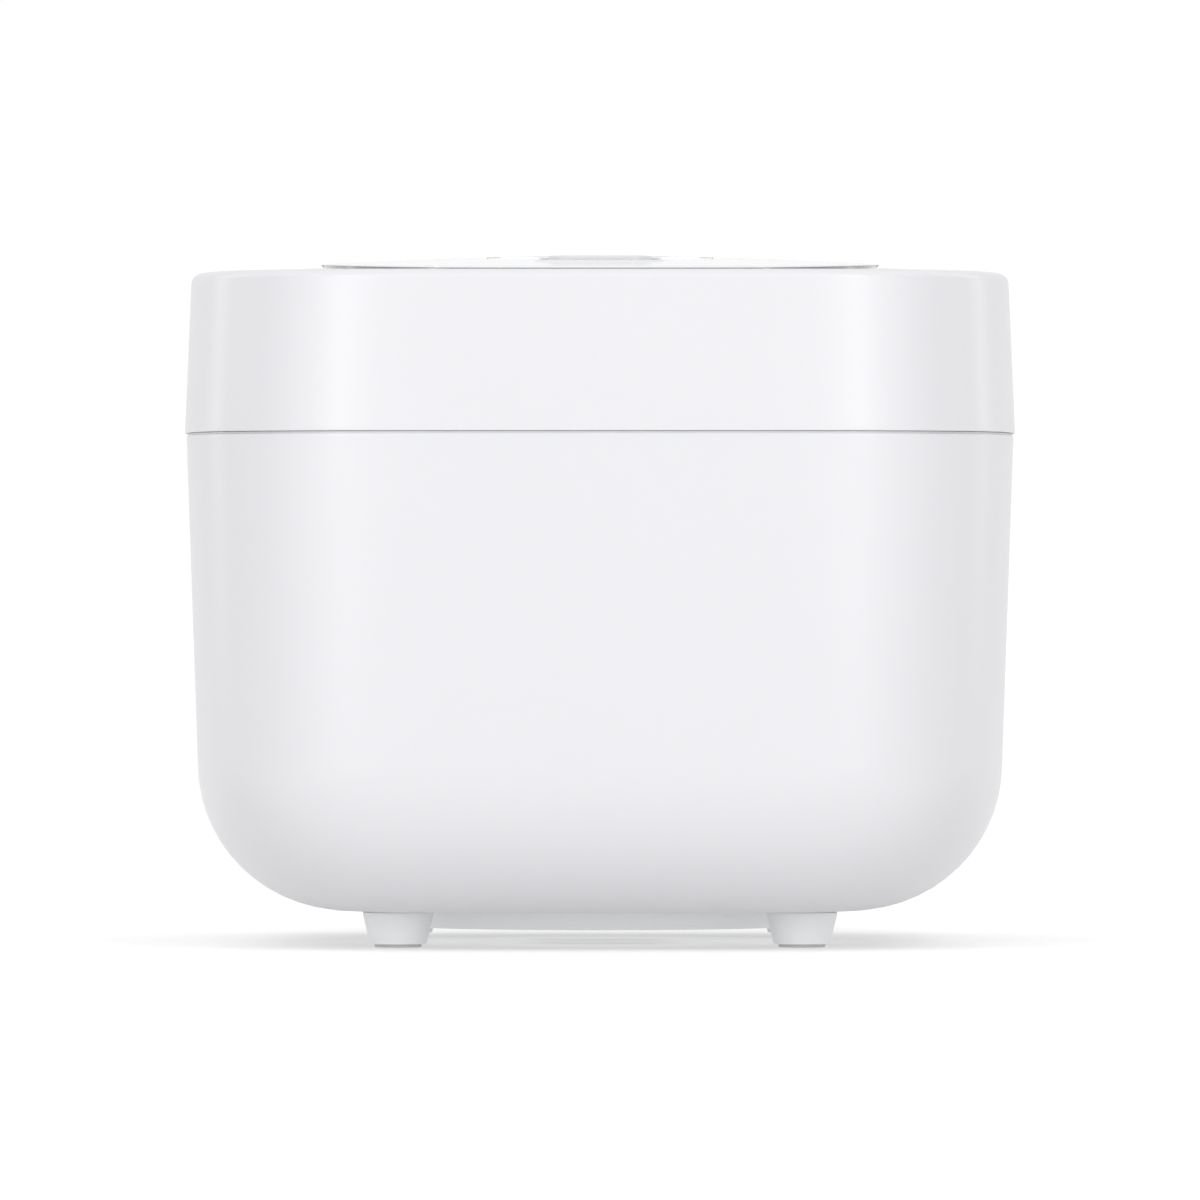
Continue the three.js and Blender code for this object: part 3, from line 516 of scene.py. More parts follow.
def block(name, low, high, corner=0.0, rim=0.0, steps=6, taper=1.0):
    """A cube of this size in millimetres, with its upright edges and then its upper rim rounded."""
    deselect()
    low, high = Vector(low) * MM, Vector(high) * MM
    centre = (low + high) / 2
    bpy.ops.mesh.primitive_cube_add(size=1, location=centre, scale=high - low)
    piece = named(name)
    bpy.ops.object.transform_apply(location=True, rotation=False, scale=True)
    if corner:
        round_edges(piece, corner, steps, upright)
    if taper != 1:
        for vertex in piece.data.vertices:
            if vertex.co.z > centre.z:
                vertex.co.x = centre.x + (vertex.co.x - centre.x) * taper
                vertex.co.y = centre.y + (vertex.co.y - centre.y) * taper
    if rim:
        round_edges(piece, rim, 4, lambda a, b: abs(a.z - b.z) < FLAT and a.z > centre.z)
    tidy_up(piece)
    return piece

# %% Cutting, refining and joining
def carve(piece, *cutters, operation="DIFFERENCE"):
    for cutter in cutters:
        pick(piece)
        modifier = piece.modifiers.new("carve", "BOOLEAN")
        modifier.object, modifier.operation, modifier.solver = cutter, operation, "EXACT"
        bpy.ops.object.modifier_apply(modifier=modifier.name)
        bpy.data.objects.remove(cutter)
    tidy_up(piece)
    return piece


def refined(name, node, width):
    """A copy of a block-like node, merged, freed of its triangles and given rounded edges."""
    piece = bpy.data.objects.new(name, frame["nodes"][node].data.copy())
    bpy.context.scene.collection.objects.link(piece)
    pick(piece)
    bpy.ops.object.mode_set(mode="EDIT")
    bpy.ops.mesh.select_all(action="SELECT")
    bpy.ops.mesh.remove_doubles(threshold=1e-6)
    bpy.ops.mesh.dissolve_limited(angle_limit=math.radians(2))
    bpy.ops.object.mode_set(mode="OBJECT")
    rounding = piece.modifiers.new("soft edges", "BEVEL")
    rounding.width, rounding.segments = width * MM, 2
    rounding.limit_method, rounding.angle_limit = "ANGLE", math.radians(30)
    bpy.ops.object.modifier_apply(modifier=rounding.name)
    smooth(piece)
    return piece


def joined(name, pieces):
    """Several loose shapes as one piece."""
    deselect()
    for piece in pieces:
        piece.select_set(True)
    bpy.context.view_layer.objects.active = pieces[0]
    bpy.ops.object.join()
    whole = named(name)
    smooth(whole)
    return whole


def copied(piece, name, x=0, y=0, z=0):
    twin = bpy.data.objects.new(name, piece.data.copy())
    bpy.context.scene.collection.objects.link(twin)
    return move_by(twin, x, y, z)

# %% [markdown]
# ## The body
# The casing is one ABS moulding: a deep tub with a squared-off outline, a slight draft so that it
# leaves its mould, and a large radius at the bottom. It could be drawn as a box with its edges
# bevelled, but then outline and bottom radius would meet in pinched corners. Here one squared
# circle is extruded up the outside, over the rim and down the inside, so all rings stay even.

# %% Body shell
BODY_HALF, BODY_MID = (133.1, 169.0), -13
SEAM_Z, BODY_BOTTOM_Z, BOTTOM_RADIUS, BODY_WALL, BODY_DRAFT = 164, 11.4, 47, 3, 0.034
ARC_Z = BODY_BOTTOM_Z + BOTTOM_RADIUS
WALL_RINGS_Z, SKIN_TOP_Z = (76, 94, 112, 130, 148), 162
RIM_Z, SEAM_FLOOR_Z, TONGUE_Z, TONGUE_INSET = 162.4, 163.6, 164.34, 0.45
BASE_HOLE_RADIUS = 74


def plan_sections(half, mid, profile):
    """Sections from points (inset, height): the inset is taken off both half sizes."""
    return [(half[0] - inset, half[1] - inset, height, mid) for inset, height in profile]


def body_skin(offset):
    """One skin of the body from its bottom up, as points (inset, height)."""
    drawn_in = (SEAM_Z - ARC_Z) * BODY_DRAFT + BOTTOM_RADIUS
    curve = arc((drawn_in, ARC_Z), BOTTOM_RADIUS - offset, -90, -180, 14)
    wall = [((SEAM_Z - z) * BODY_DRAFT + offset, z) for z in (*WALL_RINGS_Z, SKIN_TOP_Z)]
    return [(inset, z) for inset, z in curve] + wall


body_rim = filleted([
    (0.05, RIM_Z), (0.02, SEAM_FLOOR_Z), (TONGUE_INSET, SEAM_FLOOR_Z), (TONGUE_INSET, TONGUE_Z),
    (BODY_WALL, TONGUE_Z), (BODY_WALL + 0.04, RIM_Z)], 0.3)
body_profile = body_skin(0) + body_rim + body_skin(BODY_WALL)[::-1]
body_shell = grow("body_shell", plan_sections(BODY_HALF, BODY_MID, body_profile))
base_hole = turned("base_hole", [(BASE_HOLE_RADIUS, 5), (BASE_HOLE_RADIUS, 20)], (0, BODY_MID))
inlet_hole = block("inlet_hole", (-14, 135, 62), (14, 175, 82))
carve(body_shell, base_hole, inlet_hole)
stand_for(body_shell, satin_abs, "outer_body")

# %% [markdown]
# ## The top of the lid
# Seen from the side the top is a low arch: it climbs about six millimetres from its ends to its
# middle and falls away a little to the left and right. One formula gives that height everywhere,
# and every piece that lies in the top is laid on it, so the pieces stay flush with each other.

# %% The arch
PANEL_HALF, PANEL_MID = (90, 136), -18
ARCH_END_Z, ARCH_RISE, ARCH_SIDE_FALL = 216.6, 5.9, 0.52


def arch(x, y):
    across, along = x / PANEL_HALF[0], (y - PANEL_MID) / PANEL_HALF[1]
    return ARCH_END_Z + ARCH_RISE * (1 - along ** 2) * (1 - ARCH_SIDE_FALL * across ** 2)


def follow_arch(piece, columns=0):
    """Lays a flat piece, drawn at height 0, on the arch. Bisecting it first lets it bend."""
    low, high = [f(v.co.x for v in piece.data.vertices) for f in (min, max)]
    pick(piece)
    bpy.ops.object.mode_set(mode="EDIT")
    for column in range(1, columns):
        bpy.ops.mesh.select_all(action="SELECT")
        place = low + (high - low) * column / columns
        bpy.ops.mesh.bisect(plane_co=(place, 0, 0), plane_no=(1, 0, 0))
    bpy.ops.object.mode_set(mode="OBJECT")
    for vertex in piece.data.vertices:
        vertex.co.z += arch(vertex.co.x / MM, vertex.co.y / MM) * MM
    smooth(piece)
    return piece

# %% [markdown]
# The lid's shell is the same moulding as the body. Its wall leans in by a few degrees, turns over a
# small radius, and runs gently up to the edge of the top panel, which lies in a recess. It is drawn
# as one profile that goes round the whole thickness and closes on itself.

# %% Lid wall
LID_HALF, LID_LOW_Z, LID_SHOULDER_Z = (133.6, 169.5), 164.4, 212.4
LID_DRAFT, LID_EDGE, LID_WALL = 0.042, 3, 2.6
LID_TOP_Z = LID_SHOULDER_Z + LID_EDGE
LIP_HALF = (PANEL_HALF[0] * 1.008, PANEL_HALF[1] * 1.008)
PANEL_PROUD, LEDGE_DROP = 1.2, 3.3

drawn_in = (LID_SHOULDER_Z - LID_LOW_Z) * LID_DRAFT
outer_wall = filleted([(1.4, LID_LOW_Z), (0, LID_LOW_Z), (0.1, LID_LOW_Z + 2)], 0.4, 4)
outer_wall += [((z - LID_LOW_Z) * LID_DRAFT, z) for z in (175, 187, 199, 208)]
outer_wall += arc((drawn_in + LID_EDGE, LID_SHOULDER_Z), LID_EDGE, 180, 90, 8)
inner_wall = [(drawn_in + 6.5, LID_TOP_Z - LID_WALL), (drawn_in + 3.4, LID_TOP_Z - 4),
              (drawn_in + LID_WALL, 208), (LID_WALL, LID_LOW_Z)]
edge_half = [half - drawn_in - LID_EDGE for half in LID_HALF]
print("lid wall leans in by", round(drawn_in, 2), "mm")

# %% [markdown]
# Between the wall and the recess, the sections blend from level to arched. Each section carries a
# share: 0 lies level, 1 follows the arch in full, and the lift of every point goes by that share.

# %% Lid shell
def between(share, drop):
    """A section between the shoulder and the lip of the recess, and its share."""
    half = [edge + (lip - edge) * share for edge, lip in zip(edge_half, LIP_HALF)]
    mid = BODY_MID + (PANEL_MID - BODY_MID) * share
    rest = (1 - share) * LID_TOP_Z
    return (half[0], half[1], rest - drop, mid), share


def on_arch(part, drop):
    return (PANEL_HALF[0] * part, PANEL_HALF[1] * part, -drop, PANEL_MID), 1.0


lid_sections = [(section, 0.0) for section in plan_sections(LID_HALF, BODY_MID, outer_wall)]
lid_sections += [between(step / 8, PANEL_PROUD * step / 8) for step in range(1, 8)]
lid_sections += [
    between(0.975, PANEL_PROUD), on_arch(1.011, PANEL_PROUD + 0.1),
    on_arch(1.008, PANEL_PROUD + 0.5), on_arch(1.008, LEDGE_DROP), on_arch(0.95, LEDGE_DROP),
    on_arch(0.95, LEDGE_DROP + LID_WALL), on_arch(1.03, LEDGE_DROP + LID_WALL),
    between(0.5, PANEL_PROUD / 2 + LID_WALL)]
lid_sections += [(section, 0.0) for section in plan_sections(LID_HALF, BODY_MID, inner_wall)]


def lid_lift(number, x, y):
    section, share = lid_sections[number]
    if not share:
        return 0
    lip_x = x * LIP_HALF[0] / section[0]
    lip_y = PANEL_MID + (y - section[3]) * LIP_HALF[1] / section[1]
    if share == 1:
        lip_x, lip_y = x, y
    return share * arch(lip_x, lip_y)


lid_shell = grow("lid_casing", [section for section, share in lid_sections], ring_shaped=True,
                 lift=lid_lift)
stand_for(lid_shell, satin_abs, "lid_shell")

# %% [markdown]
# The top panel is a separate moulding from a polished mould, and lies in the recess with a hairline
# gap around it. It is a crowned plate with openings for the window, the button and the steam cap.
# The openings are cut by rounded blocks with a boolean, and the plate is then shaded smooth except at its
# sharp edges.

# %% Top panel and its openings
WINDOW_Y, BUTTON_Y, VENT_Y = -82, -118, 58
WINDOW_HALF, BUTTON_HALF, CAP_HALF = (36, 16), (19, 8), (18.5, 25)
PANEL_THICKNESS, WINDOW_SUNK = 3, 0.12


def scaled_panel(share, height):
    return PANEL_HALF[0] * share, PANEL_HALF[1] * share, height, PANEL_MID


def panel_blank(name, sunk=0.0):
    edge = [(0.9, -PANEL_THICKNESS), (0.9, -0.55), (0.2, -0.5), (0.05, -0.4), (0.12, -0.22),
            (0.35, -0.08), (0.8, 0)]
    sections = [scaled_panel(share, -PANEL_THICKNESS) for share in (0.02, 0.3, 0.7)]
    sections += plan_sections(PANEL_HALF, PANEL_MID, edge)
    sections += [scaled_panel(0.97 - 0.05 * step, 0) for step in range(19)] + [scaled_panel(0.03, 0)]
    return grow(name, sections, lift=lambda number, x, y: arch(x, y) - sunk)


def rounded_post(name, half, radius, y, wider=0.0):
    """A cutter with rounded upright edges, through the whole top."""
    x, along = half[0] + wider, half[1] + wider
    return block(name, (-x, y - along, 200), (x, y + along, 240), radius, steps=10)


top_plate = panel_blank("top_plate")
carve(top_plate,
      rounded_post("window_hole", WINDOW_HALF, 6.2, WINDOW_Y, 0.25),
      rounded_post("button_hole", BUTTON_HALF, 8.3, BUTTON_Y, 0.5),
      rounded_post("cap_hole", CAP_HALF, 8.8, VENT_Y, 0.8))
stand_for(top_plate, polished_abs, "top_panel")

window = panel_blank("window_plate", WINDOW_SUNK)
carve(window, rounded_post("window_outline", WINDOW_HALF, 6, WINDOW_Y), operation="INTERSECT")
stand_for(window, smoked_acrylic, "display_lens")

# %% [markdown]
# ## What the display shows
# A clock of four seven-segment digits, with a touch key on each side. A segment is a bar with pointed ends;
# each lit segment of each digit is built as a bar of its own, in its place.
# The marks lie a few hundredths of a millimetre proud of the window, where a printed film would be.

# %% Digits and touch keys
SEGMENT_LENGTH, SEGMENT_WIDTH, MARK_LOW, MARK_HIGH = 3.6, 0.9, -0.4, -0.05
DIGIT_PLACES, KEY_X, KEY_RADIUS = (-11.2, -4.4, 4.4, 11.2), 26, 6
LIT = {"0": "abcdef", "1": "bc", "3": "abcdg", "5": "acdfg"}
SEGMENT_PLACES = {"a": (0, 4, 0), "b": (2, 2, 1), "c": (2, -2, 1), "d": (0, -4, 0), "e": (-2, -2, 1),
                  "f": (-2, 2, 1), "g": (0, 0, 0)}


def bar(name, x, y, length, width, upright_bar):
    half = (width / 2, length / 2) if upright_bar else (length / 2, width / 2)
    return block(name, (x - half[0], y - half[1], MARK_LOW), (x + half[0], y + half[1], MARK_HIGH),
                 width * 0.42, steps=3)


marks = []
for place, digit in zip(DIGIT_PLACES, "1530"):
    for segment in LIT[digit]:
        x, y, stands = SEGMENT_PLACES[segment]
        marks.append(bar("segment", place + x, WINDOW_Y + y, SEGMENT_LENGTH, SEGMENT_WIDTH, stands))
marks += [bar("colon", 0, WINDOW_Y + y, 1, 1, 1) for y in (-1.8, 1.8)]
digits = follow_arch(joined("display_digits", marks))
add_detail(digits, lit_segment, "display_lens")

keys = []
for x in (-KEY_X, KEY_X):
    ring = [(KEY_RADIUS - 0.4, MARK_LOW), (KEY_RADIUS, MARK_LOW), (KEY_RADIUS, MARK_HIGH),
            (KEY_RADIUS - 0.8, MARK_HIGH), (KEY_RADIUS - 0.8, MARK_LOW)]
    keys.append(rimmed("key_ring", ring, 0.05, (x, WINDOW_Y), 48, 1))
    keys.append(bar("key_bar", x, WINDOW_Y, 4.4, 0.7, 0))
keys.append(bar("key_bar", KEY_X, WINDOW_Y, 4.4, 0.7, 1))
touch_keys = follow_arch(joined("touch_keys", keys))
add_detail(touch_keys, lit_segment, "display_lens")

# %% [markdown]
# ## Release button
# A wide key with sloping sides, which stands about a millimetre and a half out of the top. It is a
# block with fully rounded ends, drawn in towards its top, with a soft rim. A low collar moulded on
# the panel surrounds it. Underneath, a flat stem reaches down to the latch.

# %% Release button
STEM_Y, STEM_HALF = -124.5, (5, 1.5)

button = block("release_key", (-BUTTON_HALF[0], BUTTON_Y - BUTTON_HALF[1], 213),
               (BUTTON_HALF[0], BUTTON_Y + BUTTON_HALF[1], 220.8), 7.7, rim=0.7, steps=10, taper=0.86)
stem = block("key_stem", (-STEM_HALF[0], STEM_Y - STEM_HALF[1], 194.6),
             (STEM_HALF[0], STEM_Y + STEM_HALF[1], 214))
carve(button, stem, operation="UNION")
stand_for(button, button_abs, "release_button")

collar = block("key_collar", (-21.8, BUTTON_Y - 10.8, -1.4), (21.8, BUTTON_Y + 10.8, 0.5), 10.4,
               rim=0.4, steps=12, taper=0.94)
carve(collar, block("collar_hole", (-19.5, BUTTON_Y - 8.5, -5), (19.5, BUTTON_Y + 8.5, 5), 8.3,
                    steps=12))
follow_arch(collar, 6)
add_detail(collar, polished_abs, "top_panel")

# %% [markdown]
# ## Steam cap
# The cap lifts off by hand to be washed. It is a rounded block with a soft top edge, hollow below,
# with three slots near the back where the steam leaves.

# %% Steam cap
CAP_TOP_Z, CAP_LOW_Z, CAP_WALL, CAP_ROOF = 223.8, 199.5, 1.6, 2

steam_cap = block("steam_cap_top", (-CAP_HALF[0], VENT_Y - CAP_HALF[1], CAP_LOW_Z),
                  (CAP_HALF[0], VENT_Y + CAP_HALF[1], CAP_TOP_Z), 8, rim=1.9, steps=10)
hollow_half = [half - CAP_WALL for half in CAP_HALF]
hollow = block("cap_hollow", (-hollow_half[0], VENT_Y - hollow_half[1], 190),
               (hollow_half[0], VENT_Y + hollow_half[1], CAP_TOP_Z - CAP_ROOF), 8 - CAP_WALL, steps=10)
slots = [block("cap_slot", (-9, VENT_Y + y - 1, 215), (9, VENT_Y + y + 1, 230), 0.95, steps=5)
         for y in (8, 13, 18)]
carve(steam_cap, hollow, *slots)
stand_for(steam_cap, polished_abs, "steam_cap")

# %% [markdown]
# ## Feet
# The feet are moulded cones, turned here from their profile, each with a rubber pad underneath. One
# is made and copied to the four places.

# %% Feet
foot_low, foot_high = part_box("foot_front_left")
foot_x, foot_y = [(foot_low[i] + foot_high[i]) / 2 / MM for i in (0, 1)]
foot_profile = [(3, 1.4), (7.4, 1.4), (7.7, 0.9), (9.0, 0.9), (11.5, 11.3), (3, 11.3)]
foot = turned("foot_cone", filleted(foot_profile, 0.9), sides=64)
pad = turned("foot_pad", filleted([(3, 0), (7.5, 0), (7.5, 1.35), (3, 1.35)], 0.4), sides=64)
# The cones take the polypropylene that is painted lighter against the shade under the body.
for end, sign in (("front", -1), ("rear", 1)):
    for hand, side in (("left", -1), ("right", 1)):
        x, y = side * abs(foot_x), BODY_MID + sign * abs(foot_y - BODY_MID)
        node = f"foot_{end}_{hand}"
        stand_for(copied(foot, f"foot_cone_{end}_{hand}", x, y), shade_lifted_white_pp, node)
        add_detail(copied(pad, f"foot_pad_{end}_{hand}", x, y), pad_rubber, node)
for model in (foot, pad):
    bpy.data.objects.remove(model)

# %% [markdown]
# ## Base plate
# A shallow dish closes the bottom. It has six air slots, and four wells for the screws that hold
# it. A screw is turned like the feet, and two crossed blocks cut the recess for the driver.

# %% Base plate and its screws
dish_profile = [(0.5, 4.8), (64, 4.8), (70, 6.2), (74.4, 8.6), (77, 11.1), (73.2, 11.1), (73.2, 15), (71, 15),
                (71, 10.4), (62, 7.3), (0.5, 7.3)]
dish = turned("base_dish", filleted(dish_profile, 1.2), (0, BODY_MID), 128)
air_slots = [block("air_slot", (-22, BODY_MID + y - 2, 0), (22, BODY_MID + y + 2, 10), 1.9, steps=5)
             for y in (-36, -24, -12, 12, 24, 36)]
screw_places = [(x, BODY_MID + y) for x in (-41, 41) for y in (-41, 41)]
screw_wells = [turned("screw_well", [(4.2, 0), (4.2, 5.9)], place, 32) for place in screw_places]
carve(dish, *air_slots, *screw_wells)
# The dish takes the same polypropylene, painted lighter against the shade under the body.
stand_for(dish, shade_lifted_white_pp, "base_plate")

screw_profile = [(0.3, 4.82), (2.2, 4.82), (3.4, 5.0), (3.4, 5.95), (0.3, 5.95)]
screw = turned("base_screw", filleted(screw_profile, 0.4), sides=32)
for turn in ((1.9, 0.45), (0.45, 1.9)):
    carve(screw, block("driver_slot", (-turn[0], -turn[1], 4), (turn[0], turn[1], 5.5)))
for number, (x, y) in enumerate(screw_places):
    add_detail(copied(screw, f"base_screw_{number + 1}", x, y), pressed_steel, "base_plate")
bpy.data.objects.remove(screw)

# %% [markdown]
# ## Block-like pieces
# Hinge housing, cup, inlet, latch and the boxes inside are block-like mouldings, and their shapes
# in the frame are right. What they lack are the rounded edges that every moulding has, so each one
# is copied, merged and bevelled.

# %% Refined copies of block-like nodes
for name, node, width, material in (
        ("hinge_cover", "hinge_housing", 1.2, satin_abs),
        ("lid_knuckle", "lid_hinge_knuckle", 1.0, satin_abs),
        ("drip_cup", "condensate_cup", 0.6, satin_abs),
        ("inlet_socket", "mains_inlet", 0.5, black_nylon),
        ("inlet_blade_line", "inlet_pin_line", 0.35, plated_brass),
        ("inlet_blade_neutral", "inlet_pin_neutral", 0.35, plated_brass),
        ("inlet_blade_earth", "inlet_pin_earth", 0.35, plated_brass),
        ("hook", "latch_hook", 0.4, black_nylon),
        ("strike_plate", "latch_strike", 0.3, pressed_steel),
        ("relay_case", "relay", 0.5, black_nylon),
        ("winding", "transformer", 1.5, wound_copper),
        ("tray", "board_tray", 0.5, black_nylon),
        ("display_case", "display_module", 0.5, black_nylon),
        ("steam_pocket", "steam_well", 0.5, grey_pp),
        ("steam_floor", "steam_cap_floor", 0.4, grey_pp)):
    stand_for(refined(name, node, width), material, node)

# %% [markdown]
# ## Deck around the pot
# With the lid open, a grey deck shows between the pot and the body's rim. It is the squared outline
# with a raised lip, cut through for the pot, the latch and the drain, with a collar below the hole.

# %% Deck
POT_Y, OPENING, COLLAR_RADIUS = -22, 115.8, 117.5
DECK_HALF = [half - 3.6 for half in BODY_HALF]

deck_profile = [(0.1, 158), (0, 158.5), (0, 163.1), (0.25, 163.5), (0.6, 163.6), (1.8, 163.6),
                (2.15, 163.5), (2.4, 163.1), (2.5, 161.3), (3.0, 161)]
deck = grow("deck", plan_sections(DECK_HALF, BODY_MID, deck_profile))
collar_wall = turned("collar_wall", [(COLLAR_RADIUS, 149), (COLLAR_RADIUS, 158.6)], (0, POT_Y))
carve(deck, collar_wall, operation="UNION")
hole_profile = [(OPENING, 140), (OPENING, 160.2), (OPENING + 0.8, 161.2), (OPENING + 0.8, 170)]
carve(deck, turned("pot_hole", hole_profile, (0, POT_Y), 128),
      block("latch_slot", (-13, -171, 150), (13, -152, 170), 1.5),
      turned("drain_hole", [(2.4, 150), (2.4, 170)], (0, 145), 24))
stand_for(deck, grey_pp, "top_frame")

# %% [markdown]
# ## Cooking pot
# Drawn aluminium, coated inside and left spun and bare outside, with a rolled flange to lift it by.
# It is a lathe piece, and the faces that look inwards or up get the coating.

# %% Pot
FLOOR_RADIUS, FLANGE_Z = 90, 163.5

pot_profile = [(0.5, 44)] + arc((FLOOR_RADIUS, 66), 22, -90, 0, 12)
pot_profile += [(113.4, 130), (114.5, 160), (114.9, 161.3)]
pot_profile += filleted([(116, 161.3), (121, 161.3), (121, FLANGE_Z), (112.6, FLANGE_Z)], 1.0, 4)
pot_profile += [(111.8, 162.8), (111.6, 160), (110.4, 110)]
pot_profile += arc((FLOOR_RADIUS, 66), 19.5, 0, -90, 12) + [(0.5, 46.5)]
pot = turned("cooking_pot", pot_profile, (0, POT_Y), 144)
stand_for(pot, turned_aluminium, "inner_pot")
pot.data.materials.append(pot_coating)
for face in pot.data.polygons:
    out = Vector((face.center.x, face.center.y - POT_Y * MM, 0))
    inward = face.normal.dot(out.normalized()) < -0.2 if out.length > 0 else False
    on_floor = face.normal.z > 0.5 and face.center.z < 162 * MM
    if inward or on_floor or (face.normal.z > 0.5 and out.length < 113 * MM):
        face.material_index = 1

# %% [markdown]
# The level marks are printed on the inside of the wall. A print has no thickness worth modelling,
# but a surface that lies in another flickers, so each mark is a short bar that stands half a
# millimetre proud, subdivided along its length and bent to the wall's curve.

# %% Level marks
ink_surface = new_material("printed level ink", Base_Color=linear("#B9BBBE"))
level_ink, ink_tree, _, ink_place = ink_surface
speckle = add_node(ink_tree, "ShaderNodeTexNoise", {"Vector": ink_place, "Scale": per_mm(0.5)})
vary(ink_surface, speckle.outputs["Fac"], roughness=(0.45, 0.6))

LEVEL_HEIGHTS_Z, LONG_MARK, SHORT_MARK = (78, 91, 104, 117, 130), 8, 5
WALL_FOOT_RADIUS, WALL_FOOT_Z, WALL_LEAN = 109.5, 66, 0.0236
level_marks = []
for number, height in enumerate(LEVEL_HEIGHTS_Z):
    wall = WALL_FOOT_RADIUS + (height - WALL_FOOT_Z) * WALL_LEAN
    half_width = LONG_MARK if number % 2 else SHORT_MARK
    mark = block("level_mark", (-half_width, POT_Y + wall - 0.7, height - 0.4),
                 (half_width, POT_Y + wall + 0.4, height + 0.4), steps=2)
    pick(mark)
    bpy.ops.object.mode_set(mode="EDIT")
    bpy.ops.mesh.select_all(action="SELECT")
    bpy.ops.mesh.subdivide(number_cuts=6)
    bpy.ops.object.mode_set(mode="OBJECT")
    for vertex in mark.data.vertices:
        sag = wall - math.sqrt(wall ** 2 - (vertex.co.x / MM) ** 2)
        vertex.co.y -= sag * MM
    level_marks.append(mark)
add_detail(joined("level_marks", level_marks), level_ink, "inner_pot")

# %% [markdown]
# ## Under the pot
# The liner can, the cast heating plate and the spring-loaded sensor in its middle are all lathe
# pieces. The plate has three shallow rings in its face, as a turned casting has.

# %% Liner, plate, sensor
PLATE_TOP_Z, PLATE_FOOT_Z, LEG_CIRCLE = 43.7, 31, 76

liner_profile = [
    (60, 19), (92, 19), (119, 42), (119, 156.5), (124, 156.5), (124, 157.5), (118, 157.5),
    (118, 42.5), (91.5, 20), (12, 20), (12, 19)]
liner = rimmed("liner_can", liner_profile, 0.4, (0, POT_Y), 96, 2)
carve(liner, *[turned("terminal_hole", [(5, 10), (5, 24)], (side * 14, POT_Y + 60), 24)
               for side in (-1, 1)])
stand_for(liner, spun_steel, "inner_liner")

plate_profile = [(50, PLATE_FOOT_Z), (84, PLATE_FOOT_Z), (88, 34), (88, 39.7), (84, PLATE_TOP_Z)]
for groove in (68, 52, 36):
    plate_profile += [(groove + 1.2, PLATE_TOP_Z), (groove + 0.6, PLATE_TOP_Z - 0.5),
                      (groove - 0.6, PLATE_TOP_Z - 0.5), (groove - 1.2, PLATE_TOP_Z)]
plate_profile += [(19, PLATE_TOP_Z), (19, PLATE_FOOT_Z)]
plate = rimmed("hot_plate", plate_profile, 0.8, (0, POT_Y), 128, 2)
legs = [turned("plate_leg", [(5, 20.3), (5, 32)],
               (LEG_CIRCLE * math.cos(angle), POT_Y + LEG_CIRCLE * math.sin(angle)), 24)
        for angle in (math.radians(turn) for turn in (90, 210, 330))]
carve(plate, *legs, operation="UNION")
stand_for(plate, cast_aluminium, "heating_plate")

sensor_profile = [(0.5, 14), (6, 14), (6, 34), (15.5, 34), (15.5, PLATE_TOP_Z), (0.5, PLATE_TOP_Z)]
sensor = turned("sensor_button", filleted(sensor_profile, 0.9), (0, POT_Y), 64)
stand_for(sensor, turned_aluminium, "sensor_plunger")

# %% [markdown]
# ## Lid liner
# The grey liner closes the lid from below and carries a round pan. Two ribs hold the latch's pin.
# It is the squared outline once more, joined with a turned pan and two blocks, then cut through for
# the hook, the pin, the two valves and the thermistor.

# %% Lid liner
SAFETY, THERMISTOR = (-38, 40), (62, 20)
LINER_LOW_Z, LINER_SHEET_Z, PAN_Z, LATCH_Y, LATCH_Z = 165.3, 167.5, 176, -158, 190
LINER_HALF = [half - 2.65 for half in BODY_HALF]

liner_edge = [(0.5, LINER_LOW_Z), (0.15, LINER_LOW_Z + 0.15), (0, LINER_LOW_Z + 0.5),
              (0, LINER_SHEET_Z)]
lid_pan = grow("lid_underside", plan_sections(LINER_HALF, BODY_MID, liner_edge))
pan = turned("pan", [(124.5, LINER_LOW_Z + 0.5), (124.5, PAN_Z + 1.5)], (0, POT_Y), 128)
ribs = [block("rib", (min(side * 9, side * 13), LATCH_Y - 6, LINER_SHEET_Z - 1),
              (max(side * 9, side * 13), LATCH_Y + 6, LATCH_Z + 5)) for side in (-1, 1)]
carve(lid_pan, pan, *ribs, operation="UNION")
hollow_profile = [(124, 160), (123.4, LINER_LOW_Z + 0.4), (122.6, LINER_LOW_Z + 1.2), (122.6, PAN_Z)]
pan_hollow = turned("pan_hollow", hollow_profile, (0, POT_Y), 128)
pin_hole = turned("pin_hole", [(1.8, -14), (1.8, 14)], sides=24)
move_by(laid_down(pin_hole, "Y"), 0, LATCH_Y, LATCH_Z)
carve(lid_pan, pan_hollow, block("hook_slot", (-8.6, -171, 160), (8.6, -153.5, 172), 1), pin_hole,
      turned("vent_hole", [(12.5, 160), (12.5, 190)], (0, VENT_Y), 48),
      turned("safety_hole", [(10.5, 160), (10.5, 190)], SAFETY, 48),
      turned("thermistor_hole", [(4.6, 160), (4.6, 190)], THERMISTOR, 32))
stud_profile = [(0.3, 167), (3.4, 167), (3.4, PAN_Z + 1), (0.3, PAN_Z + 1)]
carve(lid_pan, turned("stud", filleted(stud_profile, 0.6), (0, POT_Y), 32), operation="UNION")
stand_for(lid_pan, grey_pp, "lid_liner")

# %% [markdown]
# ## Inner lid and its rubber
# In the pan hangs the detachable inner lid, a pressed aluminium disc in a silicone gasket, with a
# grommet in its middle that snaps over the stud. A rib pressed round the disc stiffens it. The
# gasket is grooved to hold the disc's rim, and its lip rests on the pot's flange.

# %% Inner lid, gasket and grommet
DISC_LOW_Z, DISC_TOP_Z, GASKET_LIP_Z = 170, 171.5, 163.8

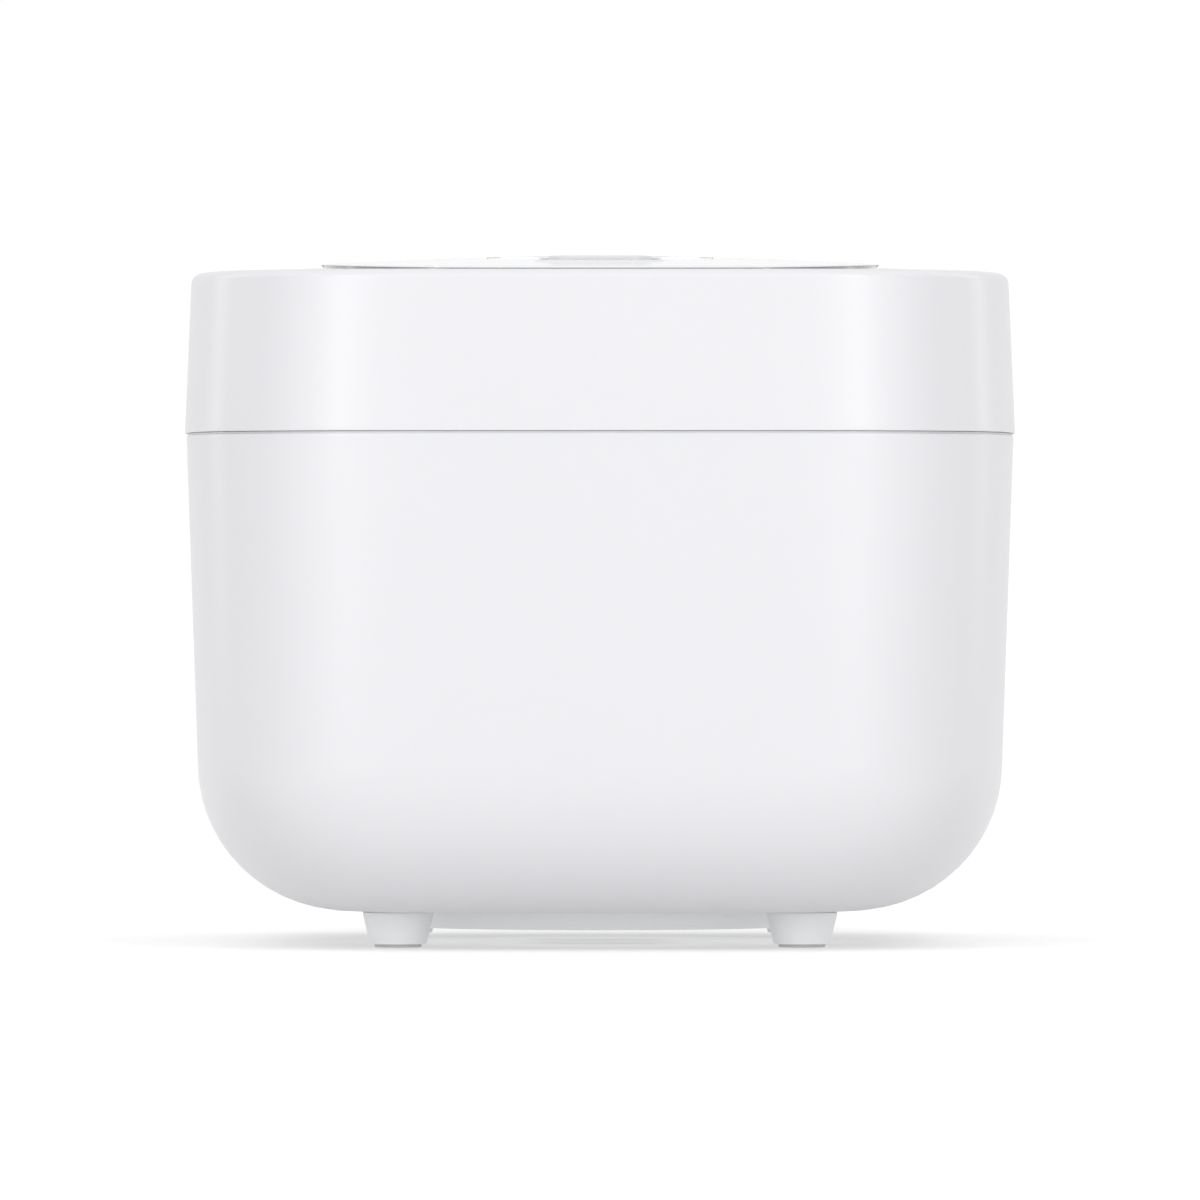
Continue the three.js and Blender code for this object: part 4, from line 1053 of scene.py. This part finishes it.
disc_profile = [
    (100, DISC_LOW_Z), (108, DISC_LOW_Z), (108, DISC_TOP_Z), (91.5, DISC_TOP_Z), (90, 172.4),
    (84, 172.4), (82.5, DISC_TOP_Z), (6.3, DISC_TOP_Z), (6.3, DISC_LOW_Z), (83, DISC_LOW_Z),
    (84.6, 171.1), (89.4, 171.1), (91, DISC_LOW_Z)]
inner_lid = rimmed("inner_lid", disc_profile, 0.5, (0, POT_Y), 144, 2)
carve(inner_lid, turned("valve_hole", [(9.5, 160), (9.5, 180)], (0, VENT_Y), 48),
      turned("safety_seat", [(8.5, 160), (8.5, 180)], SAFETY, 48))
stand_for(inner_lid, turned_aluminium, "inner_lid_plate")

gasket_profile = [
    (108, 168), (111, 167.4), (113.4, GASKET_LIP_Z), (119.5, GASKET_LIP_Z), (119.5, 166.8),
    (117, 173), (104.5, 173), (104.5, 171.8), (108.3, 171.8), (108.3, 169.7), (104.5, 169.7),
    (104.5, 168)]
gasket = rimmed("gasket", gasket_profile, 0.9, (0, POT_Y), 144)
stand_for(gasket, milky_silicone, "lid_gasket")

grommet_profile = [
    (5, 167.7), (8, 167.7), (8, 169.7), (6, 169.7), (6, 171.8), (8, 171.8), (8, 174), (3.8, 174),
    (3.8, 167.7)]
grommet = rimmed("grommet", grommet_profile, 0.5, (0, POT_Y), 48)
stand_for(grommet, milky_silicone, "inner_lid_grommet")

# %% [markdown]
# ## Valves
# Two turned seats go through the inner lid: the wider one for the pressure ball, under the steam
# cap, and the narrower one for the safety plunger. The plunger is a stepped rubber pin.

# %% Valves
valve_profile = [
    (5, 166), (9, 166), (9, 171.8), (14, 171.8), (14, 173.8), (11.4, 173.8), (11.4, 192), (9, 192),
    (9, 177), (3.2, 174.5), (3.2, 166)]
nozzle = rimmed("pressure_nozzle", valve_profile, 0.45, (0, VENT_Y), 64)
stand_for(nozzle, turned_aluminium, "pressure_valve_seat")

guard_profile = [
    (6, 167), (8, 167), (8, 171.8), (12, 171.8), (12, 173.4), (9, 173.4), (9, 186.4), (7, 186.4),
    (7, 174.8), (4, 174.8), (4, 167)]
guard = rimmed("safety_guide", guard_profile, 0.45, SAFETY, 64)
stand_for(guard, turned_aluminium, "safety_valve_body")

plunger_profile = [
    (0.3, 168), (3.6, 168), (3.6, 175.1), (6.4, 175.1), (6.4, 177), (2, 177), (2, 183), (0.3, 183)]
plunger = turned("safety_pin", filleted(plunger_profile, 0.5), SAFETY, 48)
stand_for(plunger, milky_silicone, "safety_plunger")

# %% [markdown]
# ## Coil springs
# A coil spring is a small circle, the wire's section, carried along a screw line. The Screw modifier does
# that and is then applied.

# %% Coil springs
def coil(name, radius, wire, low, high, turns):
    deselect()
    bpy.ops.mesh.primitive_circle_add(
        vertices=12, radius=wire * MM, location=(radius * MM, 0, (low + wire) * MM),
        rotation=(math.pi / 2, 0, 0))
    piece = named(name)
    bpy.ops.object.transform_apply(location=True, rotation=True, scale=True)
    winding = piece.modifiers.new("winding", "SCREW")
    winding.axis, winding.angle, winding.iterations = "Z", 2 * math.pi, turns
    winding.screw_offset = (high - low - 2 * wire) / turns * MM
    winding.steps = winding.render_steps = 32
    bpy.ops.object.modifier_apply(modifier=winding.name)
    bpy.ops.object.mode_set(mode="EDIT")
    bpy.ops.mesh.select_all(action="SELECT")
    bpy.ops.mesh.fill_holes(sides=0)
    bpy.ops.object.mode_set(mode="OBJECT")
    tidy_up(piece)
    return piece


for name, node, size, place, joint, held_at, travel in (
        ("sensor_coil", "sensor_spring", (8.6, 0.75, 22.2, 33.7, 4), (0, POT_Y),
         "sensor_plunger_press", 22.2, 2.5),
        ("safety_coil", "safety_spring", (4.2, 0.45, 177.3, 184.1, 4), SAFETY,
         "safety_plunger_lift", 184.1, 2.0),
        ("latch_coil", "latch_spring", (3.4, 0.45, 177.8, 189.7, 5), (0, -138),
         "release_button_press", 177.8, 2.1)):
    spring = move_by(coil(name, *size), *place)
    stand_for(spring, spring_steel, node)
    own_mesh(spring)

# %% [markdown]
# ## Hinge springs and pins
# The torsion springs of the hinge lie round its rod, and each ends in a straight leg that bears on
# the housing. They keep their shape. Both rods are turned upright, with rounded ends, and laid down.

# %% Hinge springs and pins
HINGE_Y, HINGE_Z = 164.5, 168
COIL_RADIUS, COIL_WIRE, COIL_LENGTH, LEG_LENGTH = 4.9, 0.8, 11.8, 9

leg_profile = filleted([(0.1, 0), (COIL_WIRE, 0), (COIL_WIRE, LEG_LENGTH), (0.1, LEG_LENGTH)], 0.3)
for name, node, start in (("hinge_coil_left", "hinge_spring_left", -42.5),
                          ("hinge_coil_right", "hinge_spring_right", 31.5)):
    winding = laid_down(coil("winding", COIL_RADIUS, COIL_WIRE, 0, COIL_LENGTH, 6), "Y")
    leg = move_by(laid_down(turned("leg", leg_profile, sides=16), "X"), 11.4, 0, -COIL_RADIUS)
    low_x = min(vertex.co.x for vertex in winding.data.vertices) / MM
    move_by(winding, -low_x - 0.4, 0, 0)
    whole = joined(name, [winding, leg])
    stand_for(move_by(whole, start, HINGE_Y, HINGE_Z), spring_steel, node)

for name, node, radius, half_length, place in (
        ("hinge_rod", "hinge_pin", 3, 74.5, (HINGE_Y, HINGE_Z)),
        ("latch_rod", "latch_pin", 1.5, 14.5, (LATCH_Y, LATCH_Z))):
    rod_profile = [(0.1, -half_length), (radius, -half_length), (radius, half_length),
                   (0.1, half_length)]
    rod = turned(name, filleted(rod_profile, radius * 0.3), sides=32)
    stand_for(move_by(laid_down(rod, "Y"), 0, *place), pressed_steel, node)

# %% [markdown]
# ## Finishes for what stays
# The remaining nodes keep the frame's own shapes: boards, leads, heaters, sleeves and other small
# parts that sit deep inside. Each gets the material that the real part is made of.

# %% Materials for the kept nodes
KEPT = {
    pressed_steel: "pressure_ball ball_retainer heating_element lid_thermistor",
    turned_aluminium: "safety_valve_cap",
    milky_silicone: "drain_spout vent_sleeve keep_warm_heater lid_heater",
    black_nylon: "sensor_guide",
    circuit_board: "power_board control_board",
    red_sleeve: "heater_lead_line",
    white_sleeve: "heater_lead_neutral thermal_fuse",
}
for material, names in KEPT.items():
    for node in names.split():
        paint(frame["nodes"][node], material)
        smooth(frame["nodes"][node], 40)
print("kept nodes painted:", sum(len(names.split()) for names in KEPT.values()))

# %% [markdown]
# ## Floor
# The floor is large, pale and matte. It also glows a little, as a floor in a very bright room seems
# to, so that it stays white around the object and lights it from below.

# %% Floor
deselect()
bpy.ops.mesh.primitive_plane_add(size=60, location=(0, 0, -0.0002))
floor = named("studio_floor")
floor_surface = new_material("matte white floor", Roughness=0.9, Emission_Color=linear("#FFFFFF"),
                             Emission_Strength=0.38)
floor_finish, floor_tree, _, floor_place = floor_surface
mottle = add_node(floor_tree, "ShaderNodeTexNoise", {"Vector": floor_place, "Scale": per_mm(900)})
vary(floor_surface, mottle.outputs["Fac"], (linear("#C6C6C6"), linear("#CCCCCC")))
paint(floor, floor_finish)

# %% [markdown]
# ## Light
# White plastic on a white ground is drawn by reflections, not by shadow. The room is bright. Two
# tall narrow lights stand in front to either side and leave soft vertical highlights near the
# corners. Two weak ones behind light the edges, and wide ones from above keep the top clean.

# %% Lights
MIDDLE = (0, -0.013, 0.11)
STRIP_ANGLE, STRIP_DISTANCE = math.radians(24), 2.6


def soft_light(name, place, width, height, power):
    """A rectangular light that looks at the object's middle and that the camera doesn't see."""
    place = Vector(place)
    bpy.ops.object.light_add(type="AREA", location=place)
    light = bpy.context.object
    light.name = name
    light.rotation_euler = (Vector(MIDDLE) - place).to_track_quat("-Z", "Y").to_euler()
    light.data.shape, light.data.energy = "RECTANGLE", power
    light.data.size, light.data.size_y = width, height
    light.visible_camera = False


strip_x, strip_y = STRIP_DISTANCE * math.sin(STRIP_ANGLE), STRIP_DISTANCE * math.cos(STRIP_ANGLE)
for side in (-1, 1):
    soft_light(f"strip_{side}", (side * strip_x, -strip_y, 1.1), 0.12, 2.4, 18.5)
    soft_light(f"rim_{side}", (side * 2.0, 1.2, 0.9), 0.5, 1.8, 5)
soft_light("fill", (0, -2.2, 2.4), 1.2, 1.2, 3)
soft_light("overhead", (0, 0, 2.6), 2.5, 2.5, 4)
print("lights:", len(bpy.data.lights))

# %% [markdown]
# ## Flags and the room
# In a white room a white object loses its edges. A sheet of black felt far out on each side is mirrored in
# the turn of the casing and draws a soft darker band there. The sheets belong to the room, not to the object,
# and the camera doesn't see them.

# %% Flags and the room
FLAG_X, FLAG_Y, FLAG_HEIGHT, FLAG_WIDTH = 3.0, -1.5, 3.0, 2.2

felt_surface = new_material("black felt", Roughness=1.0, Sheen_Weight=0.1)
felt, felt_tree, _, felt_place = felt_surface
nap = add_node(felt_tree, "ShaderNodeTexNoise", {"Vector": felt_place, "Scale": per_mm(40)})
vary(felt_surface, nap.outputs["Fac"], (linear("#202020"), linear("#303030")))
for side in (-1, 1):
    deselect()
    bpy.ops.mesh.primitive_plane_add(size=1, location=(side * FLAG_X, FLAG_Y, FLAG_HEIGHT / 2),
                                     rotation=(0, math.pi / 2, 0))
    bpy.context.object.scale = (FLAG_HEIGHT, FLAG_WIDTH, 1)
    flag = named(f"dark_flag_{side + 2}")
    bpy.ops.object.transform_apply(location=True, rotation=True, scale=True)
    flag.visible_camera = False
    paint(flag, felt)

room = bpy.data.worlds.new("white room")
bpy.context.scene.world = room
room.use_nodes = True
sky = room.node_tree.nodes["Background"]
sky.inputs["Color"].default_value = linear("#FFFFFF")
sky.inputs["Strength"].default_value = 1.02
bpy.context.scene.view_settings.view_transform = "Standard"
